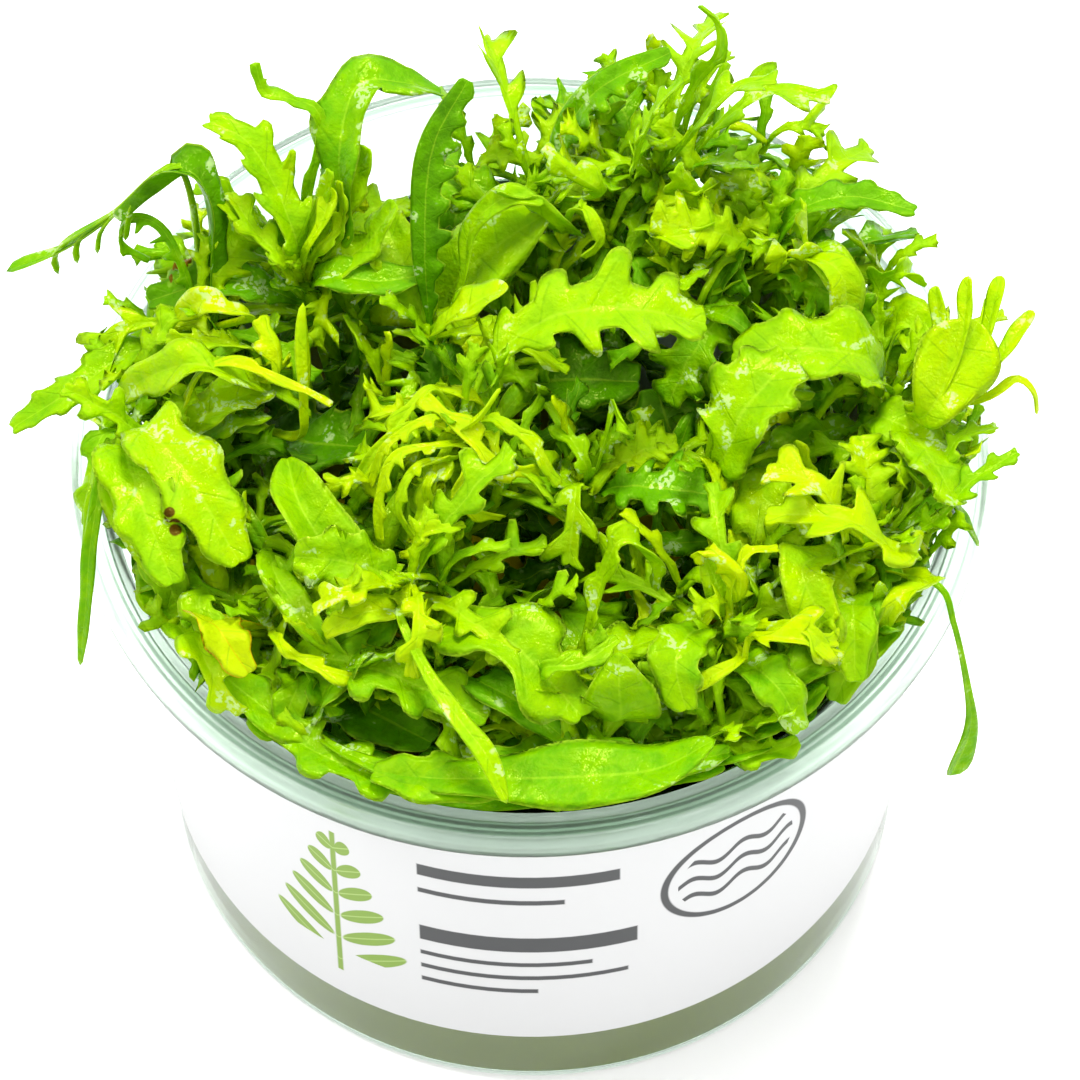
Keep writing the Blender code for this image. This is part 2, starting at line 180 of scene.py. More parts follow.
inner = BASE_RADIUS - CUP_WALL
outline = [
    (0, FOOT_RISE), (FOOT_RADIUS - 1, FOOT_RISE), (FOOT_RADIUS, 0),
    *corner_arc(BASE_RADIUS - BASE_CORNER, BASE_CORNER, BASE_CORNER, -90, 0, 8),
    (WALL_RADIUS, LEDGE_HEIGHT - 1),
    *corner_arc(WALL_RADIUS + 1.1, LEDGE_HEIGHT - 0.6, 1.0, 180, 100, 5),
    *corner_arc(STEP_RADIUS - 1.2, LEDGE_HEIGHT + 1.6, 1.2, -75, 0, 5),
    *corner_arc(STEP_RADIUS + 0.7, CUP_HEIGHT - CUP_WALL - 0.6, 0.5, 180, 90, 4),
    *corner_arc(FLANGE_RADIUS - CUP_WALL - 0.6, CUP_HEIGHT - CUP_WALL - 0.7, 0.6, 90, 0, 4),
    (FLANGE_RADIUS - CUP_WALL, CUP_HEIGHT - FLANGE_LIP + 0.2),
    *corner_arc(FLANGE_RADIUS - 0.4, CUP_HEIGHT - FLANGE_LIP + 0.4, 0.4, 180, 360, 6),
    *corner_arc(FLANGE_RADIUS - 0.8, CUP_HEIGHT - 0.8, 0.8, 0, 90, 6),
]
for ring in range(RINGS):
    outer_edge = FLANGE_RADIUS - 1.0 - ring * RING_PITCH
    outline += [
        (outer_edge, CUP_HEIGHT), (outer_edge - RING_GROOVE, CUP_HEIGHT - RING_HEIGHT),
        (outer_edge - RING_WIDTH + RING_GROOVE, CUP_HEIGHT - RING_HEIGHT),
        (outer_edge - RING_WIDTH, CUP_HEIGHT)]
outline += [
    *corner_arc(STEP_RADIUS, CUP_HEIGHT - 0.7, 0.7, 90, 180, 5),
    (STEP_RADIUS - 0.8, LEDGE_HEIGHT + 2.4),
    *corner_arc(STEP_RADIUS - 1.6, LEDGE_HEIGHT + 2.4, 0.8, 0, -80, 4),
    *corner_arc(WALL_RADIUS - CUP_WALL + 1.0, LEDGE_HEIGHT + 0.6, 1.0, 100, 180, 5),
    *corner_arc(inner - BASE_CORNER + CUP_WALL, BASE_CORNER, BASE_CORNER - CUP_WALL, 0, -90, 7),
    (FOOT_RADIUS, CUP_WALL), (FOOT_RADIUS - 1, CUP_WALL + FOOT_RISE), (0, CUP_WALL + FOOT_RISE),
]
cup_mesh = bmesh.new()
turned(cup_mesh, outline, CUP_STEPS)


def calc(tree, operation, *values):
    """Math node on sockets or numbers."""
    node = tree.nodes.new("ShaderNodeMath")
    node.operation = operation
    for socket, value in zip(node.inputs, values):
        if isinstance(value, (int, float)):
            socket.default_value = value
        else:
            tree.links.new(value, socket)
    return node.outputs[0]


def mixed(tree, factor, first, second, blend="MIX"):
    """Mix of two colours, given as sockets or as tuples."""
    node = tree.nodes.new("ShaderNodeMix")
    node.data_type = "RGBA"
    node.blend_type = blend
    for socket, value in zip((node.inputs[0], node.inputs[6], node.inputs[7]), (factor, first, second)):
        if isinstance(value, (int, float)):
            socket.default_value = value
        elif isinstance(value, tuple):
            socket.default_value = (*value, 1)
        else:
            tree.links.new(value, socket)
    return node.outputs[2]


def smooth_step(tree, value, low, high):
    """Value brought from 0 at low to 1 at high, with soft ends."""
    node = tree.nodes.new("ShaderNodeMapRange")
    node.interpolation_type = "SMOOTHSTEP"
    tree.links.new(value, node.inputs["Value"])
    node.inputs["From Min"].default_value = low
    node.inputs["From Max"].default_value = high
    return node.outputs["Result"]


def position(tree):
    """X, Y and Z of each point of a piece, in metres."""
    place = tree.nodes.new("ShaderNodeTexCoord").outputs["Object"]
    parts = tree.nodes.new("ShaderNodeSeparateXYZ")
    tree.links.new(place, parts.inputs[0])
    return parts.outputs


clear_plastic, cup_tree, cup_shader = shaded(
    "clear_plastic", None, WALL_ROUGHNESS, IOR=1.3, Transmission_Weight=1.0)
height = position(cup_tree)[2]
# Above the ledge the plastic takes the flange's darker tint, partly painted shade, and grows cloudier.
at_flange = smooth_step(cup_tree, height, LEDGE_HEIGHT * MM, (LEDGE_HEIGHT + TINT_BLEND) * MM)
cup_tree.links.new(mixed(cup_tree, at_flange, WALL_TINT, FLANGE_TINT_AND_SHADE), cup_shader.inputs["Base Color"])
cloudy = calc(cup_tree, "ADD", calc(cup_tree, "MULTIPLY", at_flange, FLANGE_CLOUDINESS), WALL_ROUGHNESS)
cup_tree.links.new(cloudy, cup_shader.inputs["Roughness"])
cup = in_metres("cup_moulding", cup_mesh, clear_plastic)
cup.data.set_sharp_from_angle(angle=SHARP)
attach(cup, "root")
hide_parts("cup")


# Gel: cloudy sage-coloured nutrient jelly that fills the bottom of the cup. It was poured in hot
# and climbs a little where it meets the wall.
GEL_GAP, GEL_TOP, MENISCUS, MENISCUS_WIDTH = 0.06, 16.0, 0.6, 1.8
GEL_RADIUS = inner - GEL_GAP
gel_outline = [
    (0, CUP_WALL + 0.8), (FOOT_RADIUS - 1, CUP_WALL + 0.8), (FOOT_RADIUS, CUP_WALL + GEL_GAP),
    *corner_arc(
        GEL_RADIUS - BASE_CORNER + CUP_WALL, BASE_CORNER + GEL_GAP, BASE_CORNER - CUP_WALL, -90, 0, 7),
    (GEL_RADIUS, GEL_TOP), (GEL_RADIUS - MENISCUS_WIDTH / 3, GEL_TOP - MENISCUS / 2),
    (GEL_RADIUS - MENISCUS_WIDTH, GEL_TOP - MENISCUS), (0, GEL_TOP - MENISCUS),
]
gel_mesh = bmesh.new()
turned(gel_mesh, gel_outline, CUP_STEPS)
cloudy_gel = shaded("gel", (0.23, 0.21, 0.0), 0.3, Specular_IOR_Level=0.0)[0]
gel = in_metres("gel_fill", gel_mesh, cloudy_gel)
gel.data.set_sharp_from_angle(angle=SHARP)
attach(gel, "root")
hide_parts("gel")


# Label: a white paper wrap glued round the wall, printed with a leafy sprig, plain bars and a ring
# of waves in green and dark grey. The print is worked out along the wall, from its front.
LABEL_BOTTOM, LABEL_TOP, LABEL_PAPER, LABEL_GAP = 11.8, 59.0, 0.3, 0.3
PAPER_WHITE, PRINT_GREY = (0.60, 0.605, 0.605), (0.022, 0.024, 0.026)
PRINT_GREEN, VEIN_LIGHT, VEIN_SHOW = (0.17, 0.30, 0.01), (0.45, 0.62, 0.2), 0.6
PRINT_EDGE = 0.12
SPRIG_PLACE, SPRIG_LOW, SPRIG_HIGH, SPRIG_BARE = -23.0, 17.0, 48.0, 5.0
SPRIG_PITCH, SPRIG_SLANT, SPRIG_TAPER, SPRIG_STEM, SPRIG_VEIN = 5.0, 0.7, 1.15, 0.35, 0.1
OVAL_PLACE, OVAL_LENGTH, OVAL_WIDTH, OVAL_EDGE = 5.0, 4.4, 1.5, 0.05  # of each leaflet, from its middle
BARS = (  # height, middle, half length and half thickness
    (47.0, -2.0, 11.0, 1.2), (42.5, -5.0, 8.0, 0.5), (33.0, -1.0, 12.0, 1.6), (28.5, -3.5, 9.5, 0.45),
    (25.5, -1.5, 11.5, 0.45), (22.5, -6.5, 6.5, 0.45))
RING_PLACE, RING_RADIUS, RING_LINE = (23.0, 40.0), 9.0, 0.45
WAVES, WAVE_RISE, WAVE_LINE, WAVE_MARGIN = (43.5, 40.0, 36.5), 0.9, 0.5, 1.6

flare = (WALL_RADIUS - BASE_RADIUS) / (LEDGE_HEIGHT - 1 - BASE_CORNER)
label_foot = BASE_RADIUS + flare * (LABEL_BOTTOM - BASE_CORNER) + LABEL_GAP
label_head = BASE_RADIUS + flare * (LABEL_TOP - BASE_CORNER) + LABEL_GAP
label_mesh = bmesh.new()
label_profile = [
    (label_foot, LABEL_BOTTOM), (label_foot + LABEL_PAPER, LABEL_BOTTOM),
    (label_head + LABEL_PAPER, LABEL_TOP), (label_head, LABEL_TOP), (label_foot, LABEL_BOTTOM)]
turned(label_mesh, label_profile, CUP_STEPS)
paper, paper_tree, paper_shader = shaded("label_paper", None, 0.45)


def drawn(operation, *values):
    """Math node of the label's print."""
    return calc(paper_tree, operation, *values)


def apart(value, middle):
    """Distance of a value from a middle."""
    return drawn("ABSOLUTE", drawn("SUBTRACT", value, middle))


def square_sum(first, second):
    """Root of the sum of two squares."""
    return drawn("SQRT", drawn("ADD", drawn("POWER", first, 2.0), drawn("POWER", second, 2.0)))


def inked(distance, half_width):
    """Mask that is 1 where a distance is less than half a line's width."""
    return smooth_step(paper_tree, distance, half_width + PRINT_EDGE, half_width - PRINT_EDGE)


east, north, height = position(paper_tree)
along = drawn("MULTIPLY", drawn("ARCTAN2", east, drawn("MULTIPLY", north, -1.0)), label_foot)
height = drawn("MULTIPLY", height, 1 / MM)
grey = 0.0
for bar_height, bar_place, bar_reach, bar_half in BARS:
    long_side = drawn("SUBTRACT", apart(along, bar_place), bar_reach - bar_half)
    bar = inked(drawn("MAXIMUM", apart(height, bar_height), long_side), bar_half)
    grey = drawn("MAXIMUM", grey, bar)
from_ring = square_sum(apart(along, RING_PLACE[0]), apart(height, RING_PLACE[1]))
grey = drawn("MAXIMUM", grey, inked(apart(from_ring, RING_RADIUS), RING_LINE))
ripple = drawn("MULTIPLY", drawn("SINE", along), WAVE_RISE)
in_ring = drawn("LESS_THAN", from_ring, RING_RADIUS - WAVE_MARGIN)
for wave_height in WAVES:
    wave = inked(apart(drawn("ADD", height, ripple), wave_height), WAVE_LINE)
    grey = drawn("MAXIMUM", grey, drawn("MULTIPLY", wave, in_ring))
outward = apart(along, SPRIG_PLACE)
up_sprig = drawn("SUBTRACT", height, SPRIG_LOW)
below_top = drawn("LESS_THAN", height, SPRIG_HIGH)
taper = drawn("SUBTRACT", SPRIG_TAPER, drawn("DIVIDE", up_sprig, SPRIG_HIGH - SPRIG_LOW))
rung = drawn(
    "DIVIDE", drawn("SUBTRACT", up_sprig, drawn("MULTIPLY", outward, SPRIG_SLANT)), SPRIG_PITCH)
off_rung = drawn("MULTIPLY", apart(drawn("FRACT", rung), 0.5), SPRIG_PITCH)
off_oval = apart(drawn("DIVIDE", outward, taper), OVAL_PLACE)
oval = square_sum(drawn("DIVIDE", off_rung, OVAL_WIDTH), drawn("DIVIDE", off_oval, OVAL_LENGTH))
above_bare = drawn("MULTIPLY", drawn("GREATER_THAN", up_sprig, SPRIG_BARE), below_top)
leaflets = drawn("MULTIPLY", smooth_step(paper_tree, oval, 1 + OVAL_EDGE, 1 - OVAL_EDGE), above_bare)
on_sprig = drawn("MULTIPLY", drawn("GREATER_THAN", up_sprig, 0.0), below_top)
sprig_stem = drawn("MULTIPLY", inked(outward, SPRIG_STEM), on_sprig)
vein = drawn("MULTIPLY", inked(off_rung, SPRIG_VEIN), VEIN_SHOW)
sprig_green = mixed(paper_tree, vein, PRINT_GREEN, VEIN_LIGHT)
with_grey = mixed(paper_tree, grey, PAPER_WHITE, PRINT_GREY)
printed = mixed(paper_tree, drawn("MAXIMUM", leaflets, sprig_stem), with_grey, sprig_green)
paper_tree.links.new(printed, paper_shader.inputs["Base Color"])
label = in_metres("label_wrap", label_mesh, paper)
label.data.set_sharp_from_angle(angle=SHARP)
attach(label, "root")
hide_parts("label")


# Leaf tissue: thin, wet and let through by light, paler along the midrib and darker along the side
# veins. The pale margin of the green leaves is painted light shining through the thin edge, and wet
# patches carry painted white glints. Each leaf has its own tone, from old dark green to new yellow
# green; the deep leaves low in the heap are darkest, partly as painted shade.
LEAF_TONES = (
    (0.0, (0.030, 0.160, 0.001)), (0.35, (0.155, 0.470, 0.0)),
    (0.65, (0.390, 0.700, 0.0)), (1.0, (0.630, 0.810, 0.0)))
YELLOW_TONES = (
    (0.0, (0.30, 0.58, 0.0)), (0.35, (0.42, 0.66, 0.0)),
    (0.65, (0.53, 0.72, 0.001)), (1.0, (0.62, 0.77, 0.002)))
BROWN_TONES = (
    (0.0, (0.06, 0.03, 0.002)), (0.35, (0.20, 0.09, 0.004)),
    (0.65, (0.36, 0.20, 0.006)), (1.0, (0.50, 0.36, 0.01)))
# The green leaves' pale margin is painted light shining through the thin edge; the orange and brown margins
# are the leaves' own colour.
PAINTED_EDGE_GLOW, ORANGE_BRIM, BROWN_BRIM = (0.60, 0.90, 0.04), (0.90, 0.35, 0.005), (0.30, 0.06, 0.004)
SPOTS = ((-38.3, -16.6, 0.7), (-37.7, -18.0, 0.8), (-36.3, -20.2, 0.6))  # X, Y and radius
SPOT_BROWN, SPOT_EDGE = (0.13, 0.06, 0.003), 0.7
# A mask rises from its first value to its second. The midrib and the margin are at 0 and 1.
MIDRIB_MASK, MARGIN_MASK = (0.07, 0.01), (0.90, 0.99)
VEIN_MASK, VEIN_FADE, VEIN_SLANT = (0.045, 0.005), (1.0, 0.6), 0.3
VEIN_GREEN, VEIN_SHARE, MIDRIB_SHARE, BRIM_AND_GLOW_SHARE = (0.12, 0.38, 0.001), 0.28, 0.25, 0.6
CLOUD, PUCKERS, GRAIN = (260, 3, 0.5), (900, 3, 0.6), (2000, 1, 0.5)  # scale, detail and roughness
CLOUD_SHARE, PUCKER_SHARE = 0.6, 0.25  # in the mottling of the tone
# Painted glints: whitish patches painted into the leaf colour where the wet surface would show the lights.
PAINTED_GLINT_WHITE, PAINTED_GLINT_SHARE, PAINTED_GLINT_CLOUD, PAINTED_GLINT_GRAIN = (0.75, 1.0, 0.40), 0.7, (0.62, 0.66), (0.46, 0.52)
WET_CLOUD, DRY_ROUGHNESS, WET_ROUGHNESS, WET_TINT = (0.42, 0.56), 0.5, 0.16, (0.85, 1, 0.15, 1)
VEIN_DIP, BUMP_STRENGTH, BUMP_HEIGHT = 0.12, 0.6, 0.0005
LET_THROUGH, THROUGH_TINT = 0.38, (1.0, 0.95, 0.5)  # share of the light on a leaf that shows behind it


def make_vein_group():
    """Masks of the midrib and side veins, and the leaf's tone, from its leaf_map attribute."""
    group = bpy.data.node_groups.new("leaf_veins", "ShaderNodeTree")
    for name in ("Midrib", "Veins", "Tone", "Margin"):
        group.interface.new_socket(name, in_out="OUTPUT", socket_type="NodeSocketFloat")
    out = group.nodes.new("NodeGroupOutput")
    read = group.nodes.new("ShaderNodeAttribute")
    read.attribute_name = "leaf_map"
    parts = group.nodes.new("ShaderNodeSeparateXYZ")
    group.links.new(read.outputs["Vector"], parts.inputs[0])
    side, reach, tone = parts.outputs
    outward = calc(group, "ABSOLUTE", side)
    shift = calc(group, "MULTIPLY", calc(group, "LESS_THAN", side, 0.0), 0.5)
    slant = calc(group, "MULTIPLY", calc(group, "SUBTRACT", 1.0, outward), VEIN_SLANT)
    phase = calc(group, "FRACT", calc(group, "ADD", calc(group, "ADD", reach, shift), slant))
    off_vein = calc(group, "ABSOLUTE", calc(group, "SUBTRACT", phase, 0.5))
    midrib = smooth_step(group, outward, *MIDRIB_MASK)
    veins = calc(
        group, "MULTIPLY", smooth_step(group, off_vein, *VEIN_MASK),
        smooth_step(group, outward, *VEIN_FADE))
    for socket, value in zip(out.inputs, (midrib, veins, tone, smooth_step(group, outward, *MARGIN_MASK))):
        group.links.new(value, socket)
    return group


def make_leaf_finish(name, veins, tones=LEAF_TONES, brim_colour_and_glow=PAINTED_EDGE_GLOW, spots=()):
    """Material of leaves: their tones, the colour of their margins and veins, brown spots, and painted
    glints.
    """
    made, tree, shader = shaded(name, None, WET_ROUGHNESS, Specular_IOR_Level=0.5, Specular_Tint=WET_TINT)
    masks = tree.nodes.new("ShaderNodeGroup")
    masks.node_tree = veins
    place = tree.nodes.new("ShaderNodeTexCoord").outputs["Object"]
    noises = []
    for scale, detail, roughness in (CLOUD, PUCKERS, GRAIN):
        noise = tree.nodes.new("ShaderNodeTexNoise")
        noise.inputs["Scale"].default_value = scale
        noise.inputs["Detail"].default_value = detail
        noise.inputs["Roughness"].default_value = roughness
        tree.links.new(place, noise.inputs["Vector"])
        noises.append(noise.outputs["Fac"])
    cloud, puckers, grain = noises
    mottling = calc(
        tree, "ADD", calc(tree, "MULTIPLY", cloud, CLOUD_SHARE),
        calc(tree, "MULTIPLY", puckers, PUCKER_SHARE))
    drift = calc(tree, "SUBTRACT", mottling, (CLOUD_SHARE + PUCKER_SHARE) / 2)
    ramp = tree.nodes.new("ShaderNodeValToRGB")
    tree.links.new(calc(tree, "ADD", masks.outputs["Tone"], drift), ramp.inputs["Fac"])
    ends = ramp.color_ramp.elements
    ends[0].position, ends[0].color = tones[0][0], (*tones[0][1], 1)
    ends[1].position, ends[1].color = tones[-1][0], (*tones[-1][1], 1)
    for tone, colour in tones[1:-1]:
        ends.new(tone).color = (*colour, 1)
    vein_mask = calc(tree, "MULTIPLY", masks.outputs["Veins"], VEIN_SHARE)
    netted = mixed(tree, vein_mask, ramp.outputs["Color"], VEIN_GREEN)
    # The midrib and the margin are mixed towards the brim colour; on the green leaves the pale margin is
    # painted light shining through the thin edge.
    pale = calc(
        tree, "MAXIMUM", calc(tree, "MULTIPLY", masks.outputs["Midrib"], MIDRIB_SHARE),
        calc(tree, "MULTIPLY", masks.outputs["Margin"], BRIM_AND_GLOW_SHARE))
    veined = mixed(tree, pale, netted, brim_colour_and_glow)
    for east, north, radius in spots:
        flat = tree.nodes.new("ShaderNodeVectorMath")
        flat.operation = "MULTIPLY"
        flat.inputs[1].default_value = (1, 1, 0)
        tree.links.new(place, flat.inputs[0])
        off_spot = tree.nodes.new("ShaderNodeVectorMath")
        off_spot.operation = "DISTANCE"
        off_spot.inputs[1].default_value = (east * MM, north * MM, 0)
        tree.links.new(flat.outputs[0], off_spot.inputs[0])
        blot = smooth_step(tree, off_spot.outputs["Value"], radius * MM, radius * MM * SPOT_EDGE)
        veined = mixed(tree, blot, veined, SPOT_BROWN)
    # Painted glints: the whitish wet patches, broken up by the fine grain, are mixed into the colour.
    painted_glint = calc(
        tree, "MULTIPLY", smooth_step(tree, cloud, *PAINTED_GLINT_CLOUD), smooth_step(tree, grain, *PAINTED_GLINT_GRAIN))
    with_painted_glint = mixed(tree, calc(tree, "MULTIPLY", painted_glint, PAINTED_GLINT_SHARE), veined, PAINTED_GLINT_WHITE)
    tree.links.new(with_painted_glint, shader.inputs["Base Color"])

    wet = smooth_step(tree, cloud, *WET_CLOUD)
    gloss = calc(tree, "ADD", calc(tree, "MULTIPLY", wet, WET_ROUGHNESS - DRY_ROUGHNESS), DRY_ROUGHNESS)
    tree.links.new(gloss, shader.inputs["Roughness"])
    height = calc(tree, "ADD", puckers, calc(tree, "MULTIPLY", masks.outputs["Veins"], -VEIN_DIP))
    bump = tree.nodes.new("ShaderNodeBump")
    bump.inputs["Strength"].default_value = BUMP_STRENGTH
    bump.inputs["Distance"].default_value = BUMP_HEIGHT
    tree.links.new(height, bump.inputs["Height"])
    tree.links.new(bump.outputs["Normal"], shader.inputs["Normal"])

    through = tree.nodes.new("ShaderNodeBsdfTranslucent")
    glow = mixed(tree, 1.0, veined, THROUGH_TINT, "MULTIPLY")
    tree.links.new(glow, through.inputs["Color"])
    both = tree.nodes.new("ShaderNodeMixShader")
    both.inputs[0].default_value = LET_THROUGH
    tree.links.new(shader.outputs[0], both.inputs[1])
    tree.links.new(through.outputs[0], both.inputs[2])
    tree.links.new(both.outputs[0], tree.nodes["Material Output"].inputs["Surface"])
    return made


leaf_veins = make_vein_group()
leaf_finish = make_leaf_finish("leaf_tissue", leaf_veins)
OWN_FINISHES = {
    "yellow_left": make_leaf_finish("yellow_leaf_tissue", leaf_veins, YELLOW_TONES, ORANGE_BRIM),
    "glossy_left": make_leaf_finish("spotted_leaf_tissue", leaf_veins, spots=SPOTS),
    "withered_scrap": make_leaf_finish("withered_tissue", leaf_veins, BROWN_TONES, BROWN_BRIM),
}
OWN_FINISHES["glossy_left_lobe"] = OWN_FINISHES["glossy_left"]


# Large leaves: each is one blade on its stalk. The lobes of one side stand opposite the notches of
# the other, as they grow on this plant's emersed leaves, and the margins ruffle a little.
ROOTED_HEIGHT = 10.3
STALK_HALF_WIDTH, STALK_ROWS = 0.42, 8  # one row of the stalk to so many of the blade
TIP_HALF_WIDTH, BLUNT_TIP = 0.28, 0.15  # of pointed leaves, and its share of the width in the others
SWELL_POWER = 0.75  # less makes a blade fuller towards its ends
SHEET_THICK, SHEET_EDGE = 0.30, 6  # more keeps the sheet's thickness nearer to its edge
RIB_THICK, RIB_TAPER, RIB_ABOVE = 0.45, 0.7, 0.25
RUFFLE, RUFFLE_EDGE, RUFFLE_WAVES = 0.16, 2.5, (1.5, 3.5)
LOBE_SIZES, LOBE_SHIFT = (0.72, 1.12), 0.12
LOBE_DOME = 0.22  # how far the end of a lobe is rounded off
LOBE_PUFF, PUFF_REACH = 0.22, 3
LARGE_MESH = (30, 0.5, 9)  # rows of a plain blade, margin to each further row, and columns of one half
MARGIN_SAMPLES, COLUMN_SPREAD = 240, 1.35
NEARBY = 0.01  # share of a midrib to each side, over which its heading is taken

Shoot = namedtuple("Shoot", "foot tip turn twigs crown", defaults=(6, 8))  # twigs, and leaves of the crown
SHOOTS = {
    "back_left": Shoot((-19, 13), (-25, 18, 79), 10, 1, 1),
    "left": Shoot((-30, 8), (-36, 13, 78), 35, 5),
    "left_rim": Shoot((-31, -3), (-40, -4, 75), 5, 6),
    "left_front": Shoot((-22, -18), (-29, -24, 73), 0),
    "front_left": Shoot((-11, -18), (-13, -24, 80), 20, 6, 5),
    "front": Shoot((2, -28), (4, -34, 73), 0, 5, 5),
    "front_right": Shoot((17, -22), (21, -28, 77), 75),
    "right_rim": Shoot((29, -12), (38, -17, 75), 82),
    "right": Shoot((30, 2), (40, 0, 79), 0),
    "back_right": Shoot((20, 14), (27, 18, 82), 25),
    "back": Shoot((11, 23), (15, 30, 84), 45),
    "back_middle": Shoot((0, 21), (1, 28, 79), 90),
    "middle": Shoot((6, -5), (6, -9, 74), 0, 1, 1),
    "middle_left": Shoot((-8, -6), (-7, -5, 83), 30, 6, 0),
    "centre_back": Shoot((-8, 8), (-11, 10, 77), -45, 6, 3),
    "centre_right": Shoot((17, -7), (19, -8, 77), 20, 3, 3),
}

# Forms: lobes on each side, how deep they are cut, where along the blade it is widest, how long
# the bare stalk is, how far the lobes point forwards, how much room the notches take, how squarely
# the lobes end, and which side has none (0 if both have)
Form = namedtuple("Form", "lobes cut belly stalk forward gap blunt bare", defaults=(0,))
FERN = Form(5, 0.92, 0.42, 0.22, 0.6, 0.4, 8)
FRINGE = Form(7, 0.97, 0.42, 0.12, 0.2, 0.62, 14, 1)
OAK = Form(5, 0.62, 0.58, 0.15, 0.35, 0.05, 7)
HAND = Form(2, 0.95, 0.62, 0.40, 0.8, 0.4, 14)
STAR = Form(2, 0.93, 0.50, 0.25, 0.5, 0.45, 12)
ANTLER = Form(3, 0.86, 0.58, 0.15, 0.5, 0.3, 10)
MAPLE = Form(2, 0.58, 0.50, 0.15, 0.6, 0.05, 5)
PLUME = Form(5, 0.50, 0.45, 0.12, 1.1, 0.2, 8)
SAW = Form(6, 0.34, 0.50, 0.15, 0.8, 0.2, 5)
COMB = Form(8, 0.60, 0.50, 0.15, 0.4, 0.1, 8, -1)
BROAD = Form(4, 0.30, 0.50, 0.12, 0.5, -0.1, 4)
RIBBON = Form(3, 0.92, 0.72, 0.10, 0.8, 0.4, 8)
PLAIN = Form(0, 0.0, 0.50, 0.15, 0.0, 0, 0)
SPOON = Form(0, 0.0, 0.72, 0.25, 0.0, 0, 0)
PENDANT = Form(0, 0.0, 0.93, 0.10, 0.0, 0, 0)
FINGER = Form(0, 0.0, 0.82, 0.40, 0.0, 0, 1)
TRIANGLE = Form(0, 0.0, 0.34, 0.30, 0.0, 0, 0)

